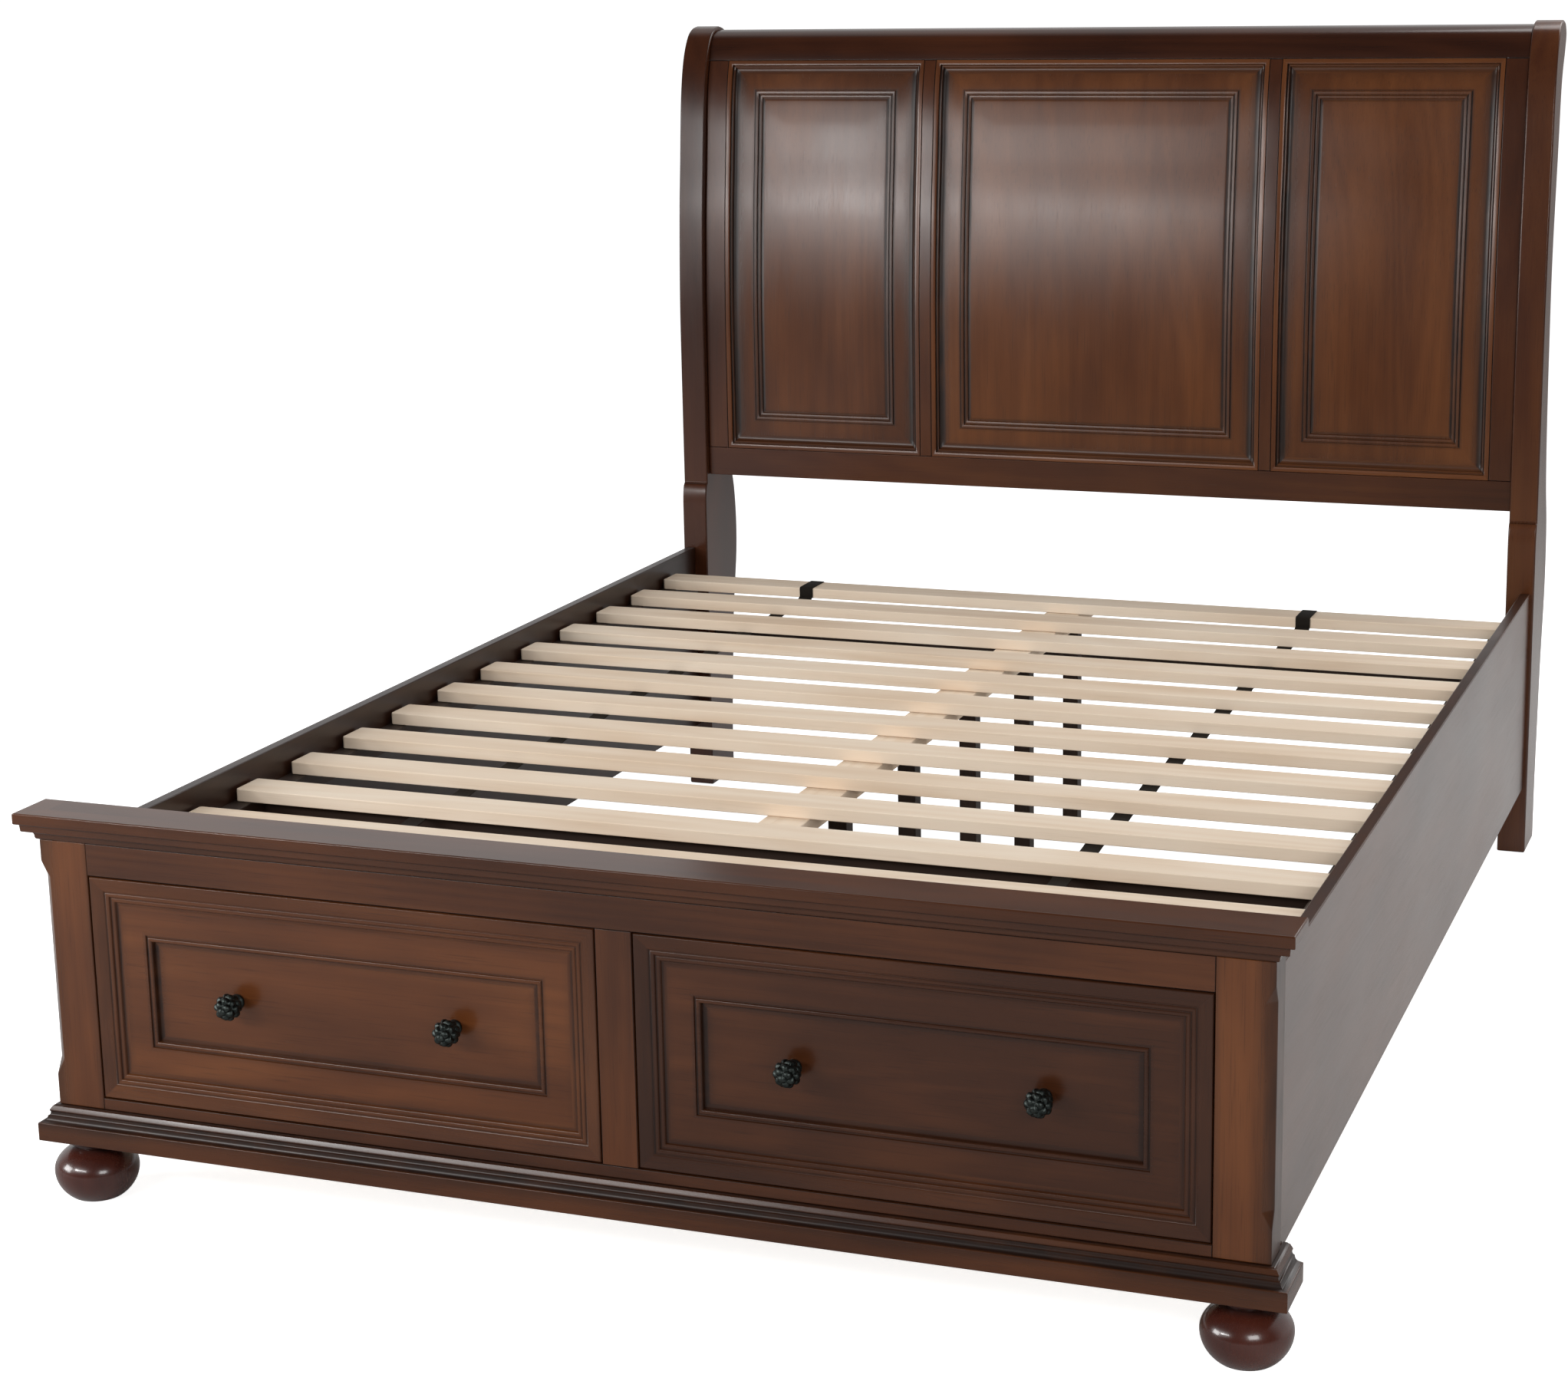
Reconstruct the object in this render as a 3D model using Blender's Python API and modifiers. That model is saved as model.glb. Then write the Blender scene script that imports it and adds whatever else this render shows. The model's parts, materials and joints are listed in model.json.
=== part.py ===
"""Queen-size storage sleigh bed: a curved panelled headboard, side rails, a slatted base on a
centre beam, and a low footboard that holds two drawers and stands on bun feet.

X runs across the bed, Y from the footboard to the headboard, Z up. The origin is on the floor
under the middle of the whole bed. Everything is in metres.
"""

import math

import bmesh
import bpy

# ---------------------------------------------------------------- driving dimensions
GAP = 0.0003                    # hairline between neighbouring pieces

MATTRESS_WIDTH = 1.524
MATTRESS_SIDE_ROOM = 0.013
RAIL_INNER = MATTRESS_WIDTH / 2 + MATTRESS_SIDE_ROOM
RAIL_THICKNESS = 0.017
RAIL_OUTER = RAIL_INNER + RAIL_THICKNESS
RAIL_BOTTOM = 0.119
RAIL_TOP = 0.467

FACE_TO_FACE = 2.0925           # front of the foot posts to the front of the head posts
HEAD_DEPTH = 0.165              # head post front to the back of its rolled top
BUN_RADIUS = 0.054
BUN_Y = 0.0256                  # bun foot's centre behind the foot posts' front
BUN_PROUD = BUN_RADIUS - BUN_Y
OVERALL_LENGTH = BUN_PROUD + FACE_TO_FACE + HEAD_DEPTH
FOOT_FACE = -OVERALL_LENGTH / 2 + BUN_PROUD
HEAD_FACE = FOOT_FACE + FACE_TO_FACE

# footboard
FOOT_POST_INNER = 0.7265
FOOT_POST_OUTER = 0.794
FOOT_POST_DEPTH = 0.0495
FOOT_POST_BOTTOM = 0.128
FOOT_POST_TOP = 0.484
CHAMFER = 0.012
CHAMFER_LOW = 0.190
CHAMFER_HIGH = 0.435
CHAMFER_STOP = 0.022            # length of the sloped stop at each end of the chamfer
CHAMFER_CUTTER_OUT = 0.012      # how far the cutter stands out of the post's corner
CHAMFER_CUTTER_HALF = 0.030
CAP_BACK = 0.051
CAP_SECTIONS = (                # (height, overhang beyond the posts), bottom to top
    (0.4843, 0.0015),
    (0.4890, 0.0035),
    (0.4955, 0.0080),
    (0.4970, 0.0170),
    (0.5062, 0.0185),
    (0.5064, 0.0225),
    (0.5078, 0.0240),
    (0.5200, 0.0240),
    (0.5215, 0.0225),
)
PLINTH_BACK = 0.068
REBATE_CUTTER_DEPTH = 0.040     # comfortably deeper and taller than the plinth's return
REBATE_CUTTER_HEIGHT = 0.200
REBATE_PLAY = 0.0005
PLINTH_SECTIONS = (
    (0.0810, 0.0226),
    (0.1095, 0.0226),
    (0.1110, 0.0212),
    (0.1155, 0.0160),
    (0.1165, 0.0110),
    (0.1215, 0.0070),
    (0.1277, 0.0030),
)
CAP_REACH = 0.020 / 0.024       # front overhang as a share of the end overhang
FRONT_FRAME_DEPTH = 0.024       # thickness of the rails and stile around the drawers
CENTRE_STILE_HALF = 0.0235
OPENING_BOTTOM = 0.143
OPENING_TOP = 0.442

# bun feet
BUN_X = 0.762
BUN_WIDEST = 0.036
BUN_BASE_RADIUS = 0.034
BUN_TOP = 0.0807
BUN_NECK_RADIUS = 0.030
BUN_NECK_HEIGHT = 0.067
BUN_COLLAR_RADIUS = 0.034
BUN_COLLAR_THICKNESS = 0.006
BUN_COVE = 0.003

# drawers
DRAWER_CLEARANCE = 0.0015
DRAWER_FRONT_THICKNESS = 0.021
DRAWER_BOX_BACK = 0.440
DRAWER_BOX_INSET = 0.022        # box side, inwards from the drawer front's edge
DRAWER_BOARD = 0.012
DRAWER_BOX_TOP = 0.365
DRAWER_BOTTOM_THICKNESS = 0.008
DRAWER_BOTTOM_LIFT = 0.008
DECK_THICKNESS = 0.012
STORAGE_BACK_FRONT = 0.4560
STORAGE_BACK_THICKNESS = 0.015
DRAWER_RINGS = (                # (distance in from the edge, depth behind the front face)
    (0.0000, 0.0010),
    (0.0010, 0.0000),
    (0.0200, 0.0018),
    (0.0220, 0.0042),
    (0.0300, 0.0050),
    (0.0340, 0.0075),
    (0.0400, 0.0080),
    (0.0750, 0.0080),
    (0.0790, 0.0105),
    (0.0860, 0.0110),
    (0.0900, 0.0135),
    (0.0940, 0.0140),
)
KNOB_XS = (0.222, 0.5265)
KNOB_Z = 0.2915
KNOB_LENGTH = 0.0405
KNOB_RADIUS = 0.0175
KNOB_STEM_RADIUS = 0.0065
KNOB_PLATE_RADIUS = 0.010
KNOB_PLATE_THICKNESS = 0.003
KNOB_PLATE_SLOPE = 0.0015

# slatted base
SLAT_COUNT = 13
SLAT_WIDTH = 0.060
SLAT_PITCH = 0.150
SLAT_LAST_FRONT = 1.924         # front edge of the slat nearest the headboard
SLAT_HALF_LENGTH = 0.770
SLAT_BOTTOM = 0.420
SLAT_TOP = 0.438
SLAT_CORNER = 0.003
CLEAT_WIDTH = 0.030
CLEAT_HEIGHT = 0.026
BEAM_HALF_WIDTH = 0.031
BEAM_HEIGHT = 0.022
LEG_SIZE = 0.028
LEG_COUNT = 5
LEG_FIRST = 0.779
LEG_PITCH = 0.3025
BEAM_END = 2.030                # the beam and the cleats stop just past the last slat
HEAD_STRETCHER_LOW = 0.272
HEAD_STRETCHER_HIGH = 0.324
HEAD_STRETCHER_FRONT = 0.028
HEAD_STRETCHER_THICKNESS = 0.022

# headboard
HEAD_POST_INNER = 0.7505
HEAD_POST_OUTER = 0.7985
HEAD_TOP = 1.437
BLOCK_TOP = 0.548               # the square block of the head post ends here
SHOULDER_TOP = 0.590
SHOULDER_SETBACK = 0.0098
FRAME_SETBACK = 0.013           # headboard frame behind the posts' front curve
FRAME_THICKNESS = 0.026
FRAME_EDGE = 0.7495
FRAME_BOTTOM = 0.606
PANEL_BOTTOM = 0.658
PANEL_TOP = 1.376
CREST_TOP = 1.4305
STILE_INNER = 0.711
MUNTIN_OUTER = 0.328
MUNTIN_INNER = 0.306
CREST_BACK_INSET = 0.010
CREST_SEAM = 0.004              # the crest follows the posts from this far above the panels
ROLL_BACK_HEIGHT = 1.412        # height of the rolled top's rearmost point
PANEL_BACK = 0.022              # panel thickness behind the frame's face
PANEL_RINGS = (
    (0.0000, 0.0000),
    (0.0030, 0.0000),
    (0.0060, 0.0035),
    (0.0150, 0.0060),
    (0.0200, 0.0095),
    (0.0235, 0.0100),
    (0.0560, 0.0100),
    (0.0590, 0.0075),
    (0.0640, 0.0085),
    (0.0690, 0.0125),
    (0.0730, 0.0130),
)
# Side view of the head post above its block: (height, distance behind the front face).
HEAD_FRONT_CURVE = (
    (SHOULDER_TOP, SHOULDER_SETBACK),
    (0.750, 0.0100),
    (0.930, 0.0112),
    (1.090, 0.0200),
    (1.200, 0.0310),
    (1.310, 0.0425),
    (1.376, 0.0580),
    (1.416, 0.0800),
    (1.432, 0.1020),
    (HEAD_TOP, 0.1260),
)
HEAD_BACK_CURVE = (
    (HEAD_TOP, 0.1260),
    (1.431, 0.1500),
    (ROLL_BACK_HEIGHT, HEAD_DEPTH),
    (1.385, 0.1550),
    (1.330, 0.1260),
    (1.220, 0.1110),
    (1.040, 0.0870),
    (0.880, 0.0900),
    (0.740, 0.1010),
    (0.640, 0.1180),
    (0.560, 0.1450),
    (0.450, 0.1510),
    (0.320, 0.1290),
    (0.200, 0.1180),
    (0.100, 0.1100),
    (0.000, 0.1100),
)
CURVE_STEPS = 7                 # points on each span of those curves
PANEL_STEPS = 24                # points up the side of a curved panel

SIDES = (("left", -1), ("right", 1))


# ---------------------------------------------------------------- scene and materials
def clear_scene():
    for old in list(bpy.data.objects):
        bpy.data.objects.remove(old)


def make_collection(name):
    collection = bpy.data.collections.new(name)
    bpy.context.scene.collection.children.link(collection)
    return collection


def make_material(name, colour, roughness, metallic=0.0):
    material = bpy.data.materials.new(name)
    material.use_nodes = True
    shader = material.node_tree.nodes["Principled BSDF"]
    shader.inputs["Base Color"].default_value = (*colour, 1.0)
    shader.inputs["Roughness"].default_value = roughness
    shader.inputs["Metallic"].default_value = metallic
    return material


clear_scene()
BED = make_collection("sleigh_bed")
CUTTERS = make_collection("cutters")
STAIN = (0.080, 0.033, 0.022)
DARK_STAIN = (0.045, 0.020, 0.014)
PINE = (0.680, 0.500, 0.330)
GUNMETAL = (0.030, 0.030, 0.034)


def stained(name):
    return make_material(name, STAIN, 0.35)


def pine(name):
    return make_material(name, PINE, 0.6)


def add_object(name, mesh, material, location=(0, 0, 0), parent=None):
    obj = bpy.data.objects.new(name, mesh)
    BED.objects.link(obj)
    if not mesh.materials:
        mesh.materials.append(material)
    if parent:
        obj.parent = parent
        obj.location = [here - there for here, there in zip(location, parent.location)]
    else:
        obj.location = location
    return obj


def mesh_from(bm, name):
    bmesh.ops.recalc_face_normals(bm, faces=bm.faces)
    mesh = bpy.data.meshes.new(name)
    bm.to_mesh(mesh)
    bm.free()
    return mesh


# ---------------------------------------------------------------- shape helpers
def board(name, low, high, material, parent=None):
    """A plain board between two opposite corners."""
    size = [b - a for a, b in zip(low, high)]
    centre = [(a + b) / 2 for a, b in zip(low, high)]
    bm = bmesh.new()
    bmesh.ops.create_cube(bm, size=1.0)
    bmesh.ops.scale(bm, vec=size, verts=bm.verts)
    return add_object(name, mesh_from(bm, name), material, centre, parent)


def side_outline(name, outline, x_low, x_high, material):
    """A side-view outline of (height, distance back) points, made into a board along X."""
    curve = bpy.data.curves.new(name, "CURVE")
    curve.dimensions = "2D"
    curve.fill_mode = "BOTH"
    curve.extrude = (x_high - x_low) / 2
    spline = curve.splines.new("POLY")
    spline.points.add(len(outline) - 1)
    for point, (z, y) in zip(spline.points, outline):
        point.co = (y, z, 0, 1)
    spline.use_cyclic_u = True
    location = ((x_low + x_high) / 2, HEAD_FACE, 0)
    obj = bpy.data.objects.new(name, curve)
    BED.objects.link(obj)
    curve.materials.append(material)
    obj.location = location
    obj.rotation_euler = (math.pi / 2, 0, math.pi / 2)
    return obj


def turned(name, profile, steps, material, location, rotation=(0, 0, 0), parent=None):
    """A lathe-turned piece. The profile is (radius, height) points, top to bottom."""
    mesh = bpy.data.meshes.new(name)
    edges = [(i, i + 1) for i in range(len(profile) - 1)]
    mesh.from_pydata([(radius, 0, height) for radius, height in profile], edges, [])
    obj = add_object(name, mesh, material, location, parent)
    obj.rotation_euler = rotation
    lathe = obj.modifiers.new("lathe", "SCREW")
    lathe.steps = steps
    lathe.render_steps = steps
    lathe.use_merge_vertices = True
    lathe.merge_threshold = 0.00001
    lathe.use_smooth_shade = True
    return obj


def loft_rings(bm, rings):
    """Closed rings of equally many points, skinned in order and capped at both ends."""
    loops = [[bm.verts.new(point) for point in ring] for ring in rings]
    count = len(loops[0])
    for lower, upper in zip(loops, loops[1:]):
        for i in range(count):
            j = (i + 1) % count
            bm.faces.new((lower[i], lower[j], upper[j], upper[i]))
    return loops


def moulded_slab(name, sections, back, material):
    """A board across the footboard whose front and ends carry one moulding, mitred at the
    corners. Sections are (height, overhang) from the bottom up."""
    rings = []
    for height, overhang in sections:
        half = FOOT_POST_OUTER + overhang
        front = -overhang * CAP_REACH
        rings.append(
            ((-half, front, height), (half, front, height), (half, back, height), (-half, back, height))
        )
    bm = bmesh.new()
    loops = loft_rings(bm, rings)
    bm.faces.new(loops[0])
    bm.faces.new(loops[-1])
    return add_object(name, mesh_from(bm, name), material, (0, FOOT_FACE, 0))


def ring_points(x_low, x_high, z_low, z_high, inset, depth, surface, steps):
    """One rectangle of a panel, drawn up its left side and down its right side."""
    left = x_low + inset
    right = x_high - inset
    bottom = z_low + inset
    height = z_high - z_low - 2 * inset
    heights = [bottom + height * i / steps for i in range(steps + 1)]
    rising = [(left, surface(z) + depth, z) for z in heights]
    falling = [(right, surface(z) + depth, z) for z in reversed(heights)]
    return rising + falling


def ring_panel(name, x_range, z_range, rings, thickness, surface, steps, material, face, parent=None):
    """A panel with mitred mouldings: nested rectangles stepped back from a surface, which
    gives the distance behind the face for each height. The back follows the surface too."""
    bm = bmesh.new()
    levels = [(0.0, thickness), *rings]
    shapes = [ring_points(*x_range, *z_range, inset, depth, surface, steps) for inset, depth in levels]
    loops = loft_rings(bm, shapes)
    last = 2 * steps + 1
    for loop in (loops[0], loops[-1]):
        for i in range(steps):
            bm.faces.new((loop[i], loop[i + 1], loop[last - i - 1], loop[last - i]))
    return add_object(name, mesh_from(bm, name), material, (0, face, 0), parent)


def smooth_run(points, steps):
    """A Catmull-Rom curve through the points, with steps points on each span."""
    padded = [points[0], *points, points[-1]]
    run = []
    for before, start, end, after in zip(padded, padded[1:], padded[2:], padded[3:]):
        for step in range(steps):
            t = step / steps
            run.append(
                tuple(
                    0.5
                    * (
                        2 * s
                        + (e - b) * t
                        + (2 * b - 5 * s + 4 * e - a) * t * t
                        + (3 * s - b - 3 * e + a) * t * t * t
                    )
                    for b, s, e, a in zip(before, start, end, after)
                )
            )
    run.append(points[-1])
    return run


def distance_back(run, height):
    """How far back a side-view curve is at a height. The curve only rises or only falls."""
    for (z0, y0), (z1, y1) in zip(run, run[1:]):
        if min(z0, z1) <= height <= max(z0, z1) and z0 != z1:
            return y0 + (y1 - y0) * (height - z0) / (z1 - z0)
    return run[0][1] if abs(height - run[0][0]) < abs(height - run[-1][0]) else run[-1][1]


# ---------------------------------------------------------------- headboard
FRONT_RUN = smooth_run(HEAD_FRONT_CURVE, CURVE_STEPS)
BACK_RUN = smooth_run(HEAD_BACK_CURVE, CURVE_STEPS)


def frame_face(height):
    """Front face of the headboard's frame, behind the head posts' lower front face."""
    return distance_back(FRONT_RUN, height) + FRAME_SETBACK


def shoulder(steps=7):
    """The quarter-round shoulder from the post's square block up to its curved part."""
    rise = SHOULDER_TOP - BLOCK_TOP
    angles = [math.pi / 2 * i / steps for i in range(steps)]
    return [
        (BLOCK_TOP + rise * math.sin(a), SHOULDER_SETBACK * (1 - math.cos(a))) for a in angles
    ]


def head_post(name, side):
    outline = [(0.0, 0.0), *shoulder(), *FRONT_RUN, *BACK_RUN[1:]]
    low, high = sorted((side * HEAD_POST_INNER, side * HEAD_POST_OUTER))
    return side_outline(name, outline, low, high, stained(name))


def curved_board(name, x_range, z_low, z_high, thickness, steps):
    """A board between two heights that follows the headboard's curve."""
    heights = [z_low + (z_high - z_low) * i / steps for i in range(steps + 1)]
    front = [(z, frame_face(z)) for z in heights]
    back = [(z, frame_face(z) + thickness) for z in reversed(heights)]
    return side_outline(name, front + back, *x_range, stained(name))


def crest():
    """The rolled top rail: the posts' top outline, drawn in a little on every side."""
    low = PANEL_TOP + GAP
    drop = HEAD_TOP - CREST_TOP
    outline = [(low, frame_face(low))]
    for z, y in FRONT_RUN:
        if z > PANEL_TOP + CREST_SEAM:
            share = (z - PANEL_TOP) / (HEAD_TOP - PANEL_TOP)
            outline.append((z - drop * share, y + FRAME_SETBACK * (1 - share)))
    for z, y in BACK_RUN[1:]:
        if z > PANEL_TOP + CREST_SEAM:
            share = min(1.0, (HEAD_TOP - z) / (HEAD_TOP - ROLL_BACK_HEIGHT))
            outline.append((z - drop, y - CREST_BACK_INSET * share))
    outline.append((low, distance_back(BACK_RUN, low + drop) - CREST_BACK_INSET))
    name = "headboard_crest_rail"
    return side_outline(name, outline, -FRAME_EDGE, FRAME_EDGE, stained(name))


def headboard():
    for word, side in SIDES:
        head_post(f"head_post_{word}", side)
        stile = sorted((side * STILE_INNER, side * FRAME_EDGE))
        muntin = sorted((side * MUNTIN_INNER, side * MUNTIN_OUTER))
        low = PANEL_BOTTOM + GAP
        high = PANEL_TOP - GAP
        curved_board(f"headboard_stile_{word}", stile, low, high, FRAME_THICKNESS, PANEL_STEPS)
        curved_board(f"headboard_muntin_{word}", muntin, low, high, FRAME_THICKNESS, PANEL_STEPS)
    edges = (-FRAME_EDGE, FRAME_EDGE)
    curved_board("headboard_bottom_rail", edges, FRAME_BOTTOM, PANEL_BOTTOM, FRAME_THICKNESS, 2)
    crest()
    spans = {
        "left": (-STILE_INNER + GAP, -MUNTIN_OUTER - GAP),
        "centre": (-MUNTIN_INNER + GAP, MUNTIN_INNER - GAP),
        "right": (MUNTIN_OUTER + GAP, STILE_INNER - GAP),
    }
    heights = (PANEL_BOTTOM + GAP, PANEL_TOP - GAP)
    for word, span in spans.items():
        name = f"headboard_panel_{word}"
        ring_panel(
            name, span, heights, PANEL_RINGS, PANEL_BACK, frame_face, PANEL_STEPS, stained(name), HEAD_FACE
        )
    front = HEAD_FACE + HEAD_STRETCHER_FRONT
    inner = HEAD_POST_INNER - GAP
    board(
        "head_stretcher",
        (-inner, front, HEAD_STRETCHER_LOW),
        (inner, front + HEAD_STRETCHER_THICKNESS, HEAD_STRETCHER_HIGH),
        make_material("head_stretcher", DARK_STAIN, 0.5),
    )


# ---------------------------------------------------------------- side rails and slatted base
def side_board(name, side, inner, outer, y_range, z_range, material):
    low, high = sorted((side * inner, side * outer))
    return board(name, (low, y_range[0], z_range[0]), (high, y_range[1], z_range[1]), material)


def side_rails():
    front = FOOT_FACE + FOOT_POST_DEPTH + GAP
    ends = (front, HEAD_FACE - GAP)
    cleat_top = SLAT_BOTTOM - GAP
    cleat_heights = (cleat_top - CLEAT_HEIGHT, cleat_top)
    for word, side in SIDES:
        name = f"side_rail_{word}"
        side_board(name, side, RAIL_INNER, RAIL_OUTER, ends, (RAIL_BOTTOM, RAIL_TOP), stained(name))
        name = f"slat_cleat_{word}"
        inner = RAIL_INNER - GAP - CLEAT_WIDTH
        outer = RAIL_INNER - GAP
        run = (front, FOOT_FACE + BEAM_END)
        side_board(name, side, inner, outer, run, cleat_heights, make_material(name, DARK_STAIN, 0.5))


def slat(name, front):
    """A slat along X with its four corners clipped."""
    half = SLAT_HALF_LENGTH
    back = front + SLAT_WIDTH
    clip = SLAT_CORNER
    corners = (
        (-half, front + clip),
        (-half + clip, front),
        (half - clip, front),
        (half, front + clip),
        (half, back - clip),
        (half - clip, back),
        (-half + clip, back),
        (-half, back - clip),
    )
    bm = bmesh.new()
    face = bm.faces.new([bm.verts.new((x, y, SLAT_BOTTOM)) for x, y in corners])
    raised = bmesh.ops.extrude_face_region(bm, geom=[face])
    top = [item for item in raised["geom"] if isinstance(item, bmesh.types.BMVert)]
    bmesh.ops.translate(bm, vec=(0, 0, SLAT_TOP - SLAT_BOTTOM), verts=top)
    return add_object(name, mesh_from(bm, name), pine(name))


def slatted_base():
    last = FOOT_FACE + SLAT_LAST_FRONT
    for i in range(SLAT_COUNT):
        number = i + 1
        slat(f"slat_{number:02d}", last - (SLAT_COUNT - number) * SLAT_PITCH)
    beam_top = SLAT_BOTTOM - GAP
    beam_bottom = beam_top - BEAM_HEIGHT
    storage_rear = FOOT_FACE + STORAGE_BACK_FRONT + STORAGE_BACK_THICKNESS
    board(
        "centre_beam",
        (-BEAM_HALF_WIDTH, storage_rear + GAP, beam_bottom),
        (BEAM_HALF_WIDTH, FOOT_FACE + BEAM_END, beam_top),
        pine("centre_beam"),
    )
    half = LEG_SIZE / 2
    for i in range(LEG_COUNT):
        middle = FOOT_FACE + LEG_FIRST + i * LEG_PITCH
        name = f"centre_leg_{i + 1}"
        board(
            name,
            (-half, middle - half, 0),
            (half, middle + half, beam_bottom - GAP),
            make_material(name, DARK_STAIN, 0.5),
        )


# ---------------------------------------------------------------- footboard
def chamfer_cutter(name, side):
    """A wedge along the post's outer front corner. Its sloped ends make the chamfer's stops."""
    bm = bmesh.new()
    bmesh.ops.create_cube(bm, size=2.0)
    inner = -CHAMFER / math.sqrt(2)
    outer = CHAMFER_CUTTER_OUT
    reach = CHAMFER_STOP * (outer - inner) / -inner
    for vert in bm.verts:
        at_corner = vert.co.y < 0
        depth = outer if at_corner else inner
        grow = reach if at_corner else 0.0
        z = CHAMFER_HIGH + grow if vert.co.z > 0 else CHAMFER_LOW - grow
        vert.co = (vert.co.x * CHAMFER_CUTTER_HALF, -depth, z)
    mesh = mesh_from(bm, name)
    cutter = bpy.data.objects.new(name, mesh)
    CUTTERS.objects.link(cutter)
    cutter.location = (side * FOOT_POST_OUTER, FOOT_FACE, 0)
    cutter.rotation_euler = (0, 0, side * math.pi / 4)
    return cutter


def hide_cutter(cutter):
    cutter.hide_render = True
    cutter.display_type = "WIRE"


def cut(obj, cutter):
    hide_cutter(cutter)
    boolean = obj.modifiers.new("cut", "BOOLEAN")
    boolean.operation = "DIFFERENCE"
    boolean.object = cutter


def foot_post(name, side):
    depth = (FOOT_FACE, FOOT_FACE + FOOT_POST_DEPTH)
    heights = (FOOT_POST_BOTTOM, FOOT_POST_TOP)
    post = side_board(name, side, FOOT_POST_INNER, FOOT_POST_OUTER, depth, heights, stained(name))
    cut(post, chamfer_cutter(f"{name}_chamfer", side))


def plinth():
    """The moulded base board, with a short return that runs back past each post."""
    name = "foot_plinth"
    slab = moulded_slab(name, PLINTH_SECTIONS, PLINTH_BACK, stained(name))
    bm = bmesh.new()
    bmesh.ops.create_cube(bm, size=1.0)
    size = (2 * (RAIL_OUTER + REBATE_PLAY), REBATE_CUTTER_DEPTH, REBATE_CUTTER_HEIGHT)
    bmesh.ops.scale(bm, vec=size, verts=bm.verts)
    cutter = bpy.data.objects.new("plinth_rebate", mesh_from(bm, "plinth_rebate"))
    CUTTERS.objects.link(cutter)
    middle = FOOT_FACE + FOOT_POST_DEPTH + REBATE_CUTTER_DEPTH / 2
    cutter.location = (0, middle, FOOT_POST_BOTTOM)
    cut(slab, cutter)


def bun_profile():
    """Flat base, a squashed ball, a small cove, and the neck under the plinth."""
    base_angle = -math.acos(BUN_BASE_RADIUS / BUN_RADIUS)
    top_angle = math.asin((BUN_NECK_HEIGHT - BUN_WIDEST) / BUN_WIDEST)
    below = BUN_WIDEST / -math.sin(base_angle)
    points = [(0.0, BUN_TOP), (BUN_COLLAR_RADIUS, BUN_TOP)]
    points.append((BUN_COLLAR_RADIUS, BUN_TOP - BUN_COLLAR_THICKNESS))
    points.append((BUN_NECK_RADIUS, BUN_NECK_HEIGHT + BUN_COVE))
    steps = 7
    for i in range(steps + 1):
        angle = top_angle * (1 - i / steps)
        points.append((BUN_RADIUS * math.cos(angle), BUN_WIDEST * (1 + math.sin(angle))))
    for i in range(1, steps + 1):
        angle = base_angle * i / steps
        points.append((BUN_RADIUS * math.cos(angle), BUN_WIDEST + below * math.sin(angle)))
    points.append((0.0, 0.0))
    return points


def footboard():
    for word, side in SIDES:
        foot_post(f"foot_post_{word}", side)
        name = f"bun_foot_{word}"
        material = make_material(name, STAIN, 0.12)
        turned(name, bun_profile(), 32, material, (side * BUN_X, FOOT_FACE + BUN_Y, 0))
    moulded_slab("foot_cap", CAP_SECTIONS, CAP_BACK, stained("foot_cap"))
    plinth()
    inner = FOOT_POST_INNER - GAP
    back = FOOT_FACE + FRONT_FRAME_DEPTH
    board(
        "foot_top_rail",
        (-inner, FOOT_FACE, OPENING_TOP),
        (inner, back, FOOT_POST_TOP),
        stained("foot_top_rail"),
    )
    board(
        "foot_bottom_rail",
        (-inner, FOOT_FACE, FOOT_POST_BOTTOM),
        (inner, back, OPENING_BOTTOM),
        stained("foot_bottom_rail"),
    )
    board(
        "foot_centre_stile",
        (-CENTRE_STILE_HALF, FOOT_FACE, OPENING_BOTTOM + GAP),
        (CENTRE_STILE_HALF, back, OPENING_TOP - GAP),
        stained("foot_centre_stile"),
    )
    board(
        "drawer_deck",
        (-inner, back + GAP, OPENING_BOTTOM - DECK_THICKNESS),
        (inner, FOOT_FACE + STORAGE_BACK_FRONT - GAP, OPENING_BOTTOM),
        make_material("drawer_deck", PINE, 0.7),
    )


def storage_back():
    """The board that closes the drawer space. It fills up to the slats, notched round the cleats."""
    edge = RAIL_INNER - GAP
    inner = edge - CLEAT_WIDTH - GAP
    low = OPENING_BOTTOM - DECK_THICKNESS
    top = SLAT_BOTTOM - GAP
    notch = top - CLEAT_HEIGHT - GAP
    corners = (
        (-edge, low),
        (edge, low),
        (edge, notch),
        (inner, notch),
        (inner, top),
        (-inner, top),
        (-inner, notch),
        (-edge, notch),
    )
    front = FOOT_FACE + STORAGE_BACK_FRONT
    bm = bmesh.new()
    face = bm.faces.new([bm.verts.new((x, front, z)) for x, z in corners])
    pushed = bmesh.ops.extrude_face_region(bm, geom=[face])
    rear = [item for item in pushed["geom"] if isinstance(item, bmesh.types.BMVert)]
    bmesh.ops.translate(bm, vec=(0, STORAGE_BACK_THICKNESS, 0), verts=rear)
    bmesh.ops.recalc_face_normals(bm, faces=bm.faces)
    name = "storage_back"
    return add_object(name, mesh_from(bm, name), make_material(name, DARK_STAIN, 0.5))


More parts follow.
